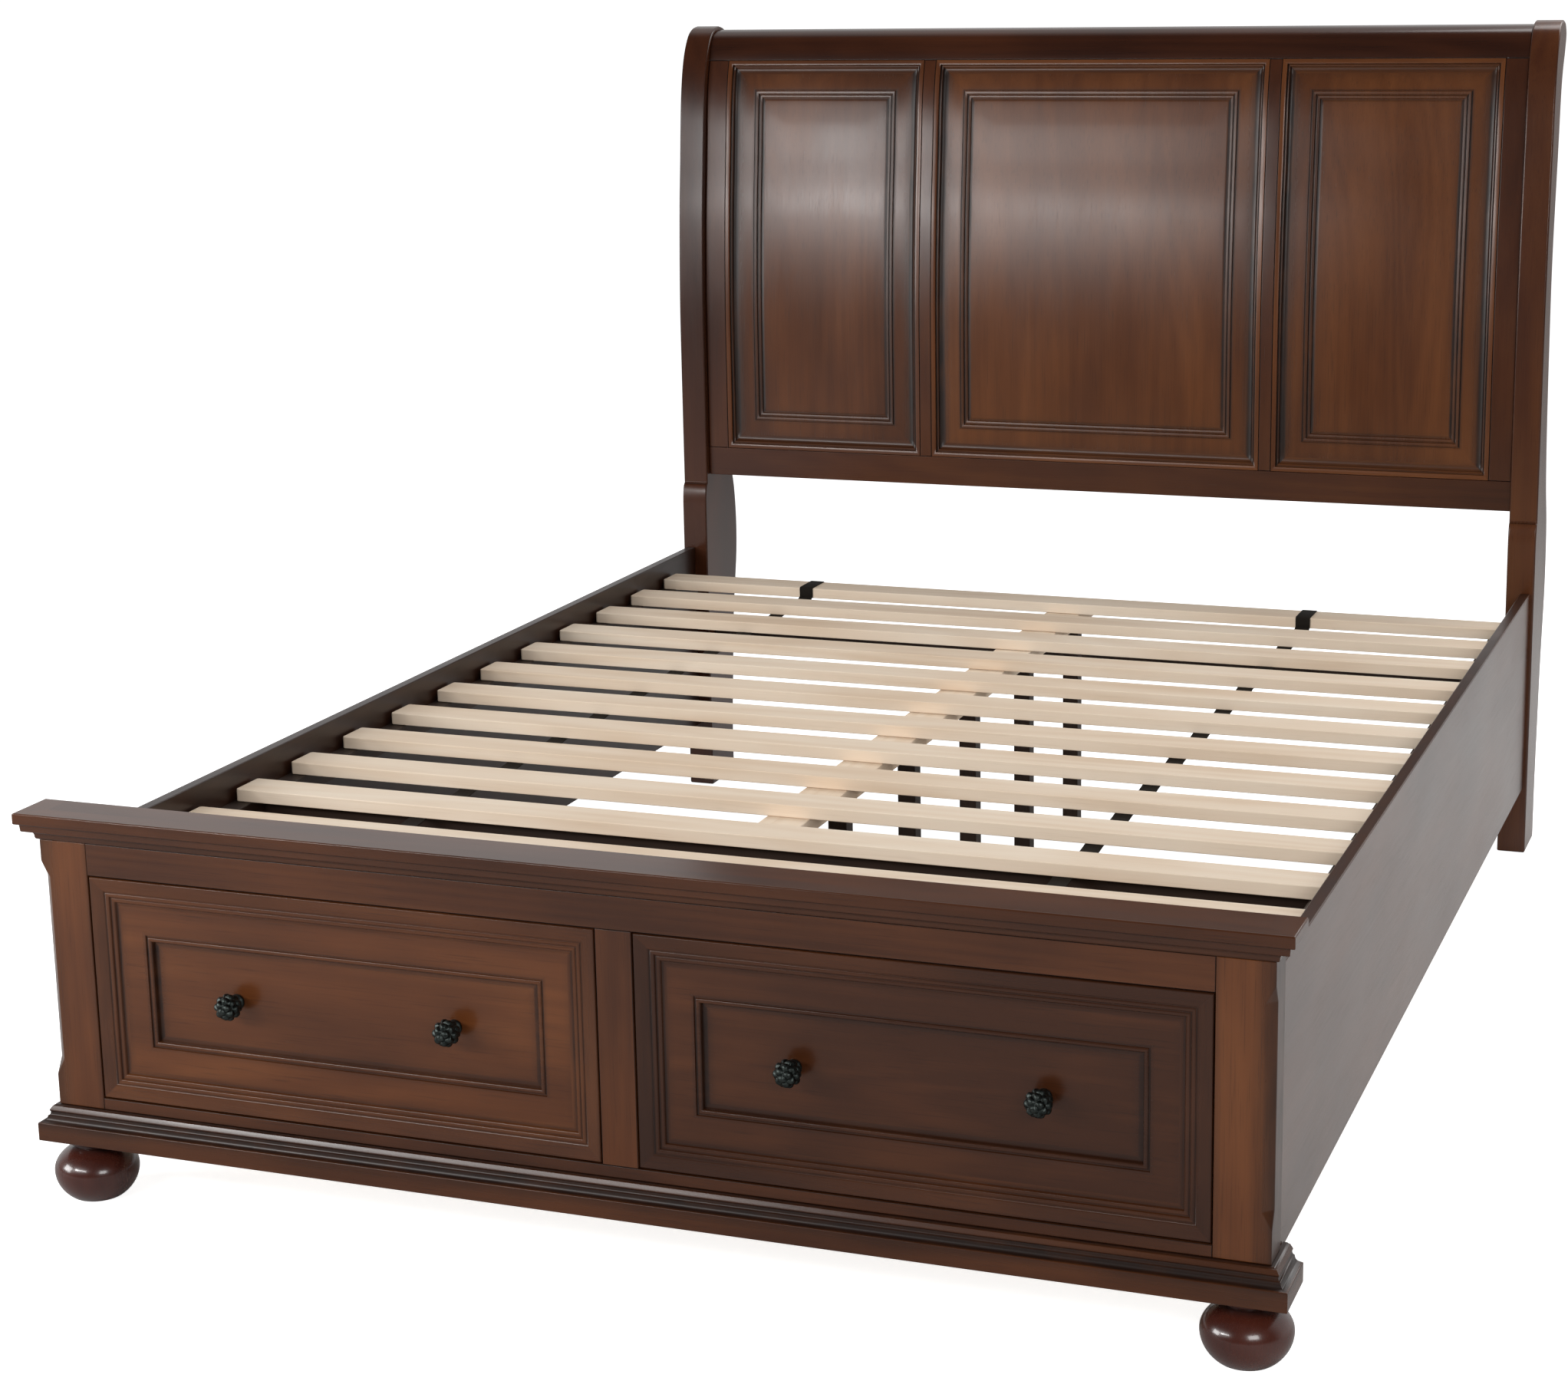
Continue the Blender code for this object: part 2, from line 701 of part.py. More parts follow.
# ---------------------------------------------------------------- drawers
def knob_profile():
    """A small plate, a waisted stem and a ball, from the tip down to the plate."""
    ball_centre = KNOB_LENGTH - KNOB_RADIUS
    join = math.asin(KNOB_STEM_RADIUS / KNOB_RADIUS)
    steps = 9
    points = []
    for i in range(steps + 1):
        angle = (math.pi - join) * i / steps
        points.append((KNOB_RADIUS * math.sin(angle), ball_centre + KNOB_RADIUS * math.cos(angle)))
    points[0] = (0.0, KNOB_LENGTH)
    points.append((KNOB_STEM_RADIUS, KNOB_PLATE_THICKNESS + KNOB_PLATE_SLOPE))
    points.append((KNOB_PLATE_RADIUS, KNOB_PLATE_THICKNESS))
    points.append((KNOB_PLATE_RADIUS, 0.0))
    points.append((0.0, 0.0))
    return points


def drawer(word, side):
    inner = CENTRE_STILE_HALF + DRAWER_CLEARANCE
    outer = FOOT_POST_INNER - DRAWER_CLEARANCE
    x_low, x_high = sorted((side * inner, side * outer))
    z_low = OPENING_BOTTOM + DRAWER_CLEARANCE
    z_high = OPENING_TOP - DRAWER_CLEARANCE
    slide = bpy.data.objects.new(f"drawer_{word}_slide", None)
    BED.objects.link(slide)
    slide.location = ((x_low + x_high) / 2, FOOT_FACE, z_low)

    name = f"drawer_{word}_front"
    ring_panel(
        name,
        (x_low, x_high),
        (z_low, z_high),
        DRAWER_RINGS,
        DRAWER_FRONT_THICKNESS,
        lambda height: 0.0,
        1,
        stained(name),
        FOOT_FACE,
        slide,
    )
    left = x_low + DRAWER_BOX_INSET
    right = x_high - DRAWER_BOX_INSET
    front = FOOT_FACE + DRAWER_FRONT_THICKNESS + GAP
    back = FOOT_FACE + DRAWER_BOX_BACK
    base = OPENING_BOTTOM + 2 * GAP
    top = DRAWER_BOX_TOP
    for end, edge, step in (("left_side", left, 1), ("right_side", right, -1)):
        a, b = sorted((edge, edge + step * DRAWER_BOARD))
        name = f"drawer_{word}_{end}"
        board(name, (a, front, base), (b, back, top), pine(name), slide)
    left_inside = left + DRAWER_BOARD + GAP
    right_inside = right - DRAWER_BOARD - GAP
    name = f"drawer_{word}_back"
    low_corner = (left_inside, back - DRAWER_BOARD, base)
    board(name, low_corner, (right_inside, back, top), pine(name), slide)
    name = f"drawer_{word}_bottom"
    floor = base + DRAWER_BOTTOM_LIFT
    low_corner = (left_inside, front, floor)
    high_corner = (right_inside, back - DRAWER_BOARD - GAP, floor + DRAWER_BOTTOM_THICKNESS)
    board(name, low_corner, high_corner, pine(name), slide)

    field = FOOT_FACE + DRAWER_RINGS[-1][1] - GAP
    for x, place in zip(KNOB_XS, ("inner", "outer")):
        name = f"drawer_{word}_{place}_knob"
        material = make_material(name, GUNMETAL, 0.4, 0.9)
        spot = (side * x, field, KNOB_Z)
        turned(name, knob_profile(), 24, material, spot, (math.pi / 2, 0, 0), slide)


headboard()
side_rails()
slatted_base()
footboard()
storage_back()
for side_word, side_sign in SIDES:
    drawer(side_word, side_sign)
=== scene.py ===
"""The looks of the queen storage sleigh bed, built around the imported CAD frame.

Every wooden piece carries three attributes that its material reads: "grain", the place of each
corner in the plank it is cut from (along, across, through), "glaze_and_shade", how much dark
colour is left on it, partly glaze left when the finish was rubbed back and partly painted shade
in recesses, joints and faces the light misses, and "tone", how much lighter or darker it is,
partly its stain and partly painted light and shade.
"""

import json
import math
import zlib

import bmesh
import bpy
import numpy as np
from mathutils import Matrix, Vector


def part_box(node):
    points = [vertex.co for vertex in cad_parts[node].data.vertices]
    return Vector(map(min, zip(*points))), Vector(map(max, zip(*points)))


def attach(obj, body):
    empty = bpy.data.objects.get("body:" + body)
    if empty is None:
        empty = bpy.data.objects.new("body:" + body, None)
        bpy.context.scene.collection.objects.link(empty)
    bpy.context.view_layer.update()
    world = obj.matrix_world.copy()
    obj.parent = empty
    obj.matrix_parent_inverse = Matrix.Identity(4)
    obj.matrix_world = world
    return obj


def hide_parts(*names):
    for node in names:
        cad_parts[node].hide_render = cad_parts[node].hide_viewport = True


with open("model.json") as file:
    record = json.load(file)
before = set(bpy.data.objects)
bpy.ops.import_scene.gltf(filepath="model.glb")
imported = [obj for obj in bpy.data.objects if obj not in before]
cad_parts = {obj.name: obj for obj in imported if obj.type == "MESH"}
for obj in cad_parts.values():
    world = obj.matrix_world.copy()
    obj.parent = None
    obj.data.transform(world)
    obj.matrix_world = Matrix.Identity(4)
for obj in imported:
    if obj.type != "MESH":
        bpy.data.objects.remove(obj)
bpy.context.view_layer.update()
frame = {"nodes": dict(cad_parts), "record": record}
MM = 0.001

# ---------------------------------------------------------------- places read from the frame
FOOT_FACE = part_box("foot_top_rail")[0].y
BODIES = frame["record"]["behaviour"]["bodies"]
BODY_OF = {node: body for body, nodes in BODIES.items() for node in nodes}
SLOT_OF = {entry["node"]: entry["material_slot"] for entry in frame["record"]["subparts"]}
SLATS = sorted(node for node in frame["nodes"] if node.startswith("slat_") and node[5:].isdigit())

# ---------------------------------------------------------------- edges, glaze and shading
DRAWER_BOTTOM_EDGE = 0.5 * MM
CREST_EDGE = 0.6 * MM
THIN_EDGE = 0.8 * MM
BOARD_EDGE = 1.0 * MM
FOOT_POST_EDGE = 1.2 * MM
STILE_EDGE = 1.4 * MM
BEAM_EDGE = 1.5 * MM
SLAT_EDGE = 1.6 * MM
RAIL_EDGE = 2.0 * MM
HEAD_POST_EDGE = 3.0 * MM
EDGE_SEGMENTS = 3
EDGE_PROFILE = 0.5
EDGE_ANGLE = math.radians(28)         # a crease sharper than this is an edge to ease
CHAMFER_ANGLE = math.radians(12)      # the same on the foot posts, whose chamfers fade out
WELD = 0.02 * MM
FLAT_ENOUGH = math.radians(0.2)

NO_GLAZE_OR_SHADE = 0.0                            # glaze and painted shade left in a piece's eased edges: partly glaze, partly painted shade between parts
SOME_GLAZE_AND_SHADE = 0.3
FULL_GLAZE_AND_SHADE = 1.0
# painted shade on the side rails' top and inner faces
RAIL_PAINTED_SHADE = 0.80
POST_OUTER_DARKENING = 0.75
POST_OUTER_FADE = 1.9                 # darkening lost over the post's whole width
POST_INNER_DARKENING = 0.45
POST_INNER_FADE = 3.6
POST_CUTS = (0.06, 0.12, 0.2, 0.28, 0.4, 0.6, 0.8, 0.88, 0.94)

SMOOTH_MOULDING = math.radians(32)    # angles under which neighbouring faces shade as one
SMOOTH_BOARD = math.radians(40)
SMOOTH_TURNED = math.radians(50)
SMOOTH_PEBBLES = math.radians(60)
FACE_WEIGHT = 80
TONE_SPREAD = 0.10                    # how much the tone of like pieces differs

# ---------------------------------------------------------------- panels and drawer fronts
HEADBOARD_THICKNESS = 22 * MM         # from the frame's face to the panel's back
HEADBOARD_ROWS = 60                   # rows of faces that follow the headboard's curve
HEADBOARD_MITRE = 23.2 * MM           # how far in the grain of the frame is mitred
HEADBOARD_SIDE_SHADE = (1.0, 0.45, 1.0, 0.5)     # glaze and painted shade kept on the left, top, right and bottom: painted shade, darker on the sides than on the top and bottom, as the light falls
DRAWER_THICKNESS = 21 * MM
DRAWER_MITRE = 38.5 * MM
# Glaze and painted shade kept on the left, top, right and bottom of the drawer fronts: painted shade, as
# the light falls.
DRAWER_SIDE_SHADE = (0.9, 0.45, 0.75, 0.55)
MITRE_SHIFT = 0.4                     # steps in the grain that tell one side from the next
SLAB_SHIFT = 0.3

# ---------------------------------------------------------------- straps
STRAP_X = (-0.485, 0.430)
STRAP_WIDTH = 25 * MM
STRAP_THICKNESS = 1.4 * MM
STRAP_CLEARANCE = 0.2 * MM
STRAP_BEND = 2 * MM
STRAP_TAIL = 30 * MM
STRAP_SAG = 3.0 * MM
STRAP_SAG_STEPS = 6

# ---------------------------------------------------------------- plinth, feet and knobs
REBATE_SLACK = 0.5 * MM               # between the plinth's rebate and the side rails
REBATE_DEPTH = 0.08
REBATE_HEIGHT = 0.2
BUN_RADIUS = 54.0                     # the feet's sizes are in mm
BUN_WIDEST = 36.0
BUN_NECK = 30.5
BUN_BASE = 34.0
BUN_COLLAR = (                        # how far it stands out from the neck, height, glaze and painted shade
    (3.0, 80.7, 0.8),
    (4.5, 79.6, 0.5),
    (4.5, 75.6, 0.3),
    (3.4, 74.6, 0.8),
    (0.6, 74.0, 1.0),
    (-0.2, 72.4, 0.8),
)
BUN_TOP_ANGLE = math.radians(61)
BUN_ROWS = 22
BUN_STEPS = 96
PEBBLES = 27
PEBBLE_WIDTH = 0.36                   # about the angle from a pebble's middle to its edge
PEBBLE_FLOOR = 0.80                   # radius in the valleys, as a share of the ball's
PEBBLE_ROUNDING = 0.35
STEM_SHORT = 4 * MM                   # how far from the ball's middle the stem ends
# The foot of the stem, as (radius, height) points in mm.
STEM_FOOT = ((6.4, 9.0), (7.5, 6.0), (9.4, 4.4), (10.0, 3.2), (10.0, 0.8), (9.4, 0.0), (0.0, 0.0))
STEM_STEPS = 40

# ---------------------------------------------------------------- light
LIGHTS = (                            # name, place, target, size, watts
    ("key", (-2.07, -3.2, 1.60), (-0.45, 0.97, 1.15), (0.45, 0.28), 19),
    ("key_spill", (-1.25, -3.2, 1.49), (-0.15, 0.97, 1.15), (1.00, 0.26), 17),
    ("side", (-3.8, -2.8, 1.5), (0.0, 0.0, 0.7), (1.6, 1.2), 82),
    ("fill", (2.2, -3.6, 1.9), (0.2, -0.6, 0.4), (1.4, 1.0), 44),
    ("top", (1.5, 1.8, 3.5), (0.0, 0.0, 0.3), (2.4, 2.4), 80),
)
AMBIENT = 0.36
ROOM_DIM = 0.05                       # brightness behind the camera in the bed's sheen
BACKDROP = 0.75                       # and behind the bed
ROOM_ENDS = -0.15                     # the room turns to backdrop between these directions
BACKDROP_STARTS = 0.35
FLOOR_HALF = 300.0
FLOOR_SHADES = ((0.86, 0.86, 0.855), (0.90, 0.90, 0.895))
FLOOR_GLOW = 0.80
FLAG_IN_FRONT = 0.50                  # how much darker the floor is in the bed's sheen,
FLAG_BEHIND = 0.10                    # in front of the footboard and behind it
FLAG_FROM = -0.1
FLAG_TO = 0.5

# ---------------------------------------------------------------- camera
CAMERA_FROM_FOOT = Vector((1.4271, -3.0576, 1.5540))    # from the middle of the footboard's face
CAMERA_TURN = math.radians(20.145)
CAMERA_DOWN = math.radians(12.993)
CAMERA_ROLL = math.radians(-0.877)
CAMERA_LENS = 68.54
CAMERA_SHIFT = (-0.0426, -0.0265)


def make_camera():
    data = bpy.data.cameras.new("camera")
    data.sensor_width = 36.0
    data.lens = CAMERA_LENS
    data.shift_x, data.shift_y = CAMERA_SHIFT
    data.clip_end = 200.0
    camera = bpy.data.objects.new("camera", data)
    bpy.context.scene.collection.objects.link(camera)
    turn = Matrix.Rotation(CAMERA_TURN, 4, "Z")
    tip = Matrix.Rotation(math.pi / 2 - CAMERA_DOWN, 4, "X")
    roll = Matrix.Rotation(CAMERA_ROLL, 4, "Z")
    place = Matrix.Translation(CAMERA_FROM_FOOT + Vector((0, FOOT_FACE, 0)))
    camera.matrix_world = place @ turn @ tip @ roll
    bpy.context.scene.camera = camera


# ---------------------------------------------------------------- node helpers
class Nodes:
    """A short way to write a node tree: a value that is a socket is linked, another is set."""

    def __init__(self, tree):
        self.tree = tree

    def add(self, kind, inputs=None, **settings):
        node = self.tree.nodes.new(kind)
        for key, value in settings.items():
            setattr(node, key, value)
        for key, value in (inputs or {}).items():
            self.feed(node.inputs[key], value)
        return node

    def feed(self, socket, value):
        if isinstance(value, bpy.types.NodeSocket):
            self.tree.links.new(value, socket)
        else:
            socket.default_value = value

    def attribute(self, name, output="Fac"):
        return self.add("ShaderNodeAttribute", attribute_name=name).outputs[output]

    def scaled(self, vector, scale, shift=(0, 0, 0)):
        inputs = {"Vector": vector, "Scale": scale, "Location": shift}
        return self.add("ShaderNodeMapping", inputs).outputs["Vector"]

    def noise(self, vector, scale=1.0, detail=2.0, roughness=0.5, distortion=0.0):
        inputs = {
            "Vector": vector,
            "Scale": scale,
            "Detail": detail,
            "Roughness": roughness,
            "Distortion": distortion,
        }
        return self.add("ShaderNodeTexNoise", inputs).outputs["Fac"]

    def math(self, operation, *values, clamp=False):
        node = self.add("ShaderNodeMath", operation=operation, use_clamp=clamp)
        for socket, value in zip(node.inputs, values):
            self.feed(socket, value)
        return node.outputs[0]

    def remap(self, value, low, high, to_low=0.0, to_high=1.0):
        inputs = {"Value": value, "From Min": low, "From Max": high, "To Min": to_low, "To Max": to_high}
        return self.add("ShaderNodeMapRange", inputs, clamp=True).outputs[0]

    def ramp(self, value, stops):
        node = self.add("ShaderNodeValToRGB", {"Fac": value})
        elements = node.color_ramp.elements
        while len(elements) < len(stops):
            elements.new(0.5)
        for element, (place, colour) in zip(elements, stops):
            element.position = place
            element.color = (*colour, 1.0)
        return node.outputs["Color"]

    def mix(self, amount, first, second):
        node = self.add("ShaderNodeMix", data_type="RGBA")
        self.feed(node.inputs[0], amount)
        for socket, value in ((node.inputs[6], first), (node.inputs[7], second)):
            self.feed(socket, (*value, 1.0) if isinstance(value, tuple) else value)
        return node.outputs[2]

    def bump(self, height, strength, distance):
        inputs = {"Height": height, "Strength": strength, "Distance": distance}
        return self.add("ShaderNodeBump", inputs).outputs["Normal"]


def new_material(name):
    material = bpy.data.materials.new(name)
    material.use_nodes = True
    tree = material.node_tree
    return material, Nodes(tree), tree.nodes["Principled BSDF"]


# ---------------------------------------------------------------- materials
RING_SHARE = 0.12                     # what each layer of the grain adds to the tone
STREAK_SHARE = 0.15
CLOUD_SHARE = 0.73
FIBRE_SHARE = 0.12
CONTRAST = 0.30                       # half the tone's range that spans the colours
WANDER = 0.010                        # how far a grain line strays, in metres
RINGS = 80.0
GLAZE_ROUGHNESS = 0.14
PORE_ROUGHNESS = 0.10
FIBRE_ROUGHNESS = 0.05
COAT_ROUGHNESS = 0.10
RELIEF = 0.0003


def wood(
    name,
    stops,
    glaze_and_shade_colour,
    roughness,
    coat=0.0,
    specular=0.5,
    figure=0.5,
    pores=0.5,
    bump=0.2,
):
    """Stained or bare wood. The grain runs along the first number of the grain attribute, and
    a scale says how fine a layer is along, across and through the plank."""
    material, n, shader = new_material(name)
    place = n.attribute("grain", "Vector")
    wander = n.noise(n.scaled(place, (0.9, 6.0, 6.0)), detail=2.0)
    bend = n.add("ShaderNodeCombineXYZ", {"Y": n.remap(wander, 0, 1, -WANDER, WANDER)}).outputs[0]
    place = n.add("ShaderNodeVectorMath", {0: place, 1: bend}, operation="ADD").outputs[0]
    contours = n.noise(n.scaled(place, (0.6, 7.0, 7.0)), detail=1.5, roughness=0.4, distortion=0.2)
    rings = n.remap(n.math("SINE", n.math("MULTIPLY", contours, RINGS)), -1, 1)
    fibre = n.noise(n.scaled(place, (5.0, 320.0, 320.0)), detail=3.0, roughness=0.6)
    streak = n.noise(n.scaled(place, (2.0, 45.0, 45.0)), detail=3.0, roughness=0.5)
    cloud = n.noise(n.scaled(place, (2.6, 6.5, 6.5)), detail=3.0, roughness=0.5)
    tone = n.math("MULTIPLY", rings, RING_SHARE * figure)
    for layer, share in ((streak, STREAK_SHARE), (cloud, CLOUD_SHARE), (fibre, FIBRE_SHARE)):
        tone = n.math("ADD", tone, n.math("MULTIPLY", layer, share))
    middle = (RING_SHARE * figure + STREAK_SHARE + CLOUD_SHARE + FIBRE_SHARE) / 2
    place_in_ramp = n.remap(tone, middle - CONTRAST, middle + CONTRAST)
    # The piece's tone: painted light and shade, and a random difference in stain.
    place_in_ramp = n.math("ADD", place_in_ramp, n.attribute("tone"), clamp=True)
    colour = n.ramp(place_in_ramp, stops)
    pore = n.noise(n.scaled(place, (14.0, 620.0, 620.0)), detail=1.0)
    pore = n.remap(pore, 0.60, 0.74, 0.0, pores)
    colour = n.mix(pore, colour, glaze_and_shade_colour)
    # Dark glaze and painted shade: partly a real glaze, rubbed back unevenly, and partly painted shade
    # in recesses, grooves, joints and faces the light misses.
    rubbed = n.noise(n.scaled(place, (18.0, 60.0, 60.0)), detail=3.0)
    patchy = n.remap(rubbed, 0.3, 0.7, 0.75, 1.1)
    glaze_and_shade = n.math("MULTIPLY", n.attribute("glaze_and_shade"), patchy, clamp=True)
    colour = n.mix(glaze_and_shade, colour, glaze_and_shade_colour)
    n.feed(shader.inputs["Base Color"], colour)
    worn = n.noise(n.scaled(place, (3.0, 9.0, 9.0)), detail=3.0)
    gloss = n.remap(worn, 0.3, 0.7, roughness - 0.015, roughness + 0.02)
    for layer, share in ((fibre, FIBRE_ROUGHNESS), (pore, PORE_ROUGHNESS), (glaze_and_shade, GLAZE_ROUGHNESS)):
        gloss = n.math("ADD", gloss, n.math("MULTIPLY", layer, share))
    n.feed(shader.inputs["Roughness"], gloss)
    shader.inputs["Specular IOR Level"].default_value = specular
    shader.inputs["Coat Weight"].default_value = coat
    shader.inputs["Coat Roughness"].default_value = COAT_ROUGHNESS
    height = n.math("ADD", n.math("MULTIPLY", fibre, 0.5), n.math("MULTIPLY", rings, 0.15 * figure))
    n.feed(shader.inputs["Normal"], n.bump(n.math("SUBTRACT", height, pore), bump, RELIEF))
    return material


def metal(name, colour, roughness):
    material, n, shader = new_material(name)
    place = n.add("ShaderNodeTexCoord").outputs["Object"]
    spots = n.noise(place, scale=260.0, detail=3.0)
    dark = tuple(value * 0.45 for value in colour)
    n.feed(shader.inputs["Base Color"], n.mix(n.remap(spots, 0.35, 0.65), dark, colour))
    n.feed(shader.inputs["Roughness"], n.remap(spots, 0.3, 0.7, roughness - 0.07, roughness + 0.1))
    shader.inputs["Metallic"].default_value = 1.0
    n.feed(shader.inputs["Normal"], n.bump(n.noise(place, scale=900.0, detail=2.0), 0.25, RELIEF))
    return material


def webbing(name):
    """Black woven strap: ribs across it and rows along it."""
    material, n, shader = new_material(name)
    place = n.attribute("grain", "Vector")
    ribs = {"Vector": place, "Scale": 210.0, "Distortion": 0.3}
    rows = {"Vector": place, "Scale": 330.0, "Distortion": 0.2}
    ribs = n.add("ShaderNodeTexWave", ribs, bands_direction="DIAGONAL").outputs["Fac"]
    rows = n.add("ShaderNodeTexWave", rows, bands_direction="Y").outputs["Fac"]
    weave = n.math("MULTIPLY", ribs, rows)
    colour = n.ramp(weave, ((0.0, (0.006, 0.005, 0.004)), (1.0, (0.036, 0.027, 0.020))))
    n.feed(shader.inputs["Base Color"], colour)
    shader.inputs["Roughness"].default_value = 0.85
    shader.inputs["Specular IOR Level"].default_value = 0.15
    n.feed(shader.inputs["Normal"], n.bump(weave, 0.6, 0.0004))
    return material


# Dark colour of the glaze and painted shade, also used in the pores.
GLAZE_AND_SHADE_COLOUR = (0.0120, 0.0044, 0.0024)
STAINED = wood(
    "stained_wood",
    ((0.0, (0.040, 0.0120, 0.0042)), (0.5, (0.086, 0.0262, 0.0078)), (1.0, (0.150, 0.0500, 0.0145))),
    GLAZE_AND_SHADE_COLOUR,
    roughness=0.20,
    specular=0.42,
    pores=0.30,
    bump=0.05,
)
STAINED_DEEP = wood(
    "stained_wood_deep",
    ((0.0, (0.026, 0.0074, 0.0034)), (0.5, (0.056, 0.0160, 0.0058)), (1.0, (0.100, 0.0320, 0.0100))),
    GLAZE_AND_SHADE_COLOUR,
    roughness=0.20,
    specular=0.42,
    pores=0.30,
    bump=0.05,
)
POLISHED = wood(
    "polished_wood",
    ((0.0, (0.018, 0.0040, 0.0025)), (0.5, (0.045, 0.0095, 0.0055)), (1.0, (0.085, 0.0190, 0.0100))),
    (0.0080, 0.0038, 0.0030),
    roughness=0.24,
    coat=0.5,
    pores=0.2,
    bump=0.04,
)
DARK = wood(
    "dark_wood",
    ((0.0, (0.014, 0.0070, 0.0045)), (0.5, (0.026, 0.0130, 0.0080)), (1.0, (0.042, 0.0210, 0.0125))),
    (0.0040, 0.0025, 0.0020),
    roughness=0.5,
    specular=0.3,
)
PINE = wood(
    "pine",
    ((0.0, (0.640, 0.475, 0.330)), (0.5, (0.760, 0.620, 0.480)), (1.0, (0.830, 0.720, 0.590))),
    (0.360, 0.235, 0.140),
    roughness=0.62,
    specular=0.3,
    figure=1.0,
    pores=0.10,
    bump=0.5,
)
DRAWER_WOOD = wood(
    "drawer_wood",
    ((0.0, (0.360, 0.220, 0.110)), (0.5, (0.520, 0.360, 0.210)), (1.0, (0.620, 0.460, 0.290))),
    (0.180, 0.095, 0.045),
    roughness=0.42,
    figure=0.8,
    pores=0.15,
)
GUNMETAL = metal("knob_metal", (0.060, 0.070, 0.066), 0.40)
WEBBING = webbing("strap_webbing")
FINISH = {
    "stained_wood": STAINED,
    "polished_wood": POLISHED,
    "dark_wood": DARK,
    "pine": PINE,
    "drawer_wood": DRAWER_WOOD,
    "knob_metal": GUNMETAL,
}
# How much lighter or darker than the middle of its colours each piece is: mostly painted light
# and shade for how the light falls on it (the right drawer front, the left side rail and the crest
# rail darker, the corner posts lighter), and partly a difference in stain.
PAINTED_LIGHT_AND_TONE = {
    "foot_post_right": 0.28,
    "foot_post_left": 0.12,
    "foot_top_rail": -0.34,
    "foot_bottom_rail": -0.22,
    "foot_centre_stile": -0.18,
    "foot_cap": -0.28,
    "foot_plinth": -0.25,
    "drawer_left_front": 0.0,
    "drawer_right_front": -0.47,
    "side_rail_left": -0.50,
    "side_rail_right": -0.15,
    "headboard_crest_rail": -0.42,
    "headboard_panel_left": -0.02,
    "headboard_panel_centre": 0.16,
    "headboard_panel_right": 0.14,
    "head_post_left": -0.25,
    "head_post_right": 0.18,
}
DEEP_STAINED = (
    "headboard_crest",
    "headboard_stile",
    "headboard_muntin",
    "headboard_bottom",
    "head_post",
)


def finish_of(node):
    return STAINED_DEEP if node.startswith(DEEP_STAINED) else FINISH[SLOT_OF[node]]


# ---------------------------------------------------------------- making pieces
def chance(name):
    """A number from 0 to 1 that is always the same for one name."""
    return zlib.crc32(name.encode()) / 2**32


def plank_shift(name):
    """Where in its plank a piece was cut, so that no two pieces have the same figure."""
    return Vector((17.0 * chance(name + "a"), 9.0 * chance(name + "b"), 5.0 * chance(name + "c")))


class Shape:
    """Points with their glaze and painted shade and faces with their grain, made into one object at the
    end.
    """

    def __init__(self):
        self.points = []
        self.glaze_and_shade = []
        self.faces = []
        self.grain = []
        self.share = []

    def point(self, place, glaze_and_shade=0.0):
        self.points.append(tuple(place))
        self.glaze_and_shade.append(glaze_and_shade)
        return len(self.points) - 1

    def loop(self, places, glaze_and_shade=0.0):
        return [self.point(place, glaze_and_shade) for place in places]

    def face(self, corners, grain, side_shade_share=1.0):
        self.faces.append(tuple(corners))
        self.grain.extend(grain)
        self.share.extend([side_shade_share] * len(corners))

    def object(self, name, node, smooth=SMOOTH_MOULDING):
        mesh = bpy.data.meshes.new(name)
        mesh.from_pydata(self.points, [], self.faces)
        shift = plank_shift(name)
        corners = [corner for face in self.faces for corner in face]
        glaze_and_shade = mesh.attributes.new("glaze_and_shade", "FLOAT", "CORNER")
        glaze_and_shade.data.foreach_set("value", [self.glaze_and_shade[c] * share for c, share in zip(corners, self.share)])
        set_grain(mesh, [Vector(place) + shift for place in self.grain])
        turn_outwards(mesh)
        return finish_piece(name, mesh, node, smooth)


def set_grain(mesh, places):
    """Gives each corner of the mesh its place in the plank."""
    grain = mesh.attributes.new("grain", "FLOAT_VECTOR", "CORNER")
    grain.data.foreach_set("vector", [value for place in places for value in place])


def turn_outwards(mesh):
    bm = bmesh.new()
    bm.from_mesh(mesh)
    bmesh.ops.recalc_face_normals(bm, faces=bm.faces)
    bm.to_mesh(mesh)
    bm.free()


def finish_piece(name, mesh, node, smooth):
    """Links the piece, gives it the CAD node's finish and body, and hides the node."""
    mesh.shade_smooth()
    mesh.set_sharp_from_angle(angle=smooth)
    # The table's part of the tone is painted light and shade; the spread is a random difference in
    # stain.
    tone = PAINTED_LIGHT_AND_TONE.get(node, 0.0) + TONE_SPREAD * (chance(name) - 0.5)
    tones = mesh.attributes.new("tone", "FLOAT", "POINT")
    tones.data.foreach_set("value", [tone] * len(mesh.vertices))
    obj = bpy.data.objects.new(name, mesh)
    bpy.context.scene.collection.objects.link(obj)
    mesh.materials.append(finish_of(node))
    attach(obj, BODY_OF[node])
    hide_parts(node)
    return obj


def level_faces(piece):
    """Lets the widest faces set the shading, so a flat face beside a moulding stays flat."""
    level = piece.modifiers.new("level_faces", "WEIGHTED_NORMAL")
    level.keep_sharp = True
    level.weight = FACE_WEIGHT


AXES = {"X": (0, 1, 2), "Y": (1, 0, 2), "Z": (2, 0, 1)}


def grain_at(place, axis):
    return Vector([place[i] for i in AXES[axis]])


def put_in_order(bm):
    """Sorts a mesh's points, edges and faces by place, because a cut leaves some in any order."""
    for i, vertex in enumerate(sorted(bm.verts, key=lambda v: tuple(v.co))):
        vertex.index = i
    bm.verts.sort()
    for elements in (bm.edges, bm.faces):
        for i, element in enumerate(sorted(elements, key=lambda e: sorted(v.index for v in e.verts))):
            element.index = i
        elements.sort()


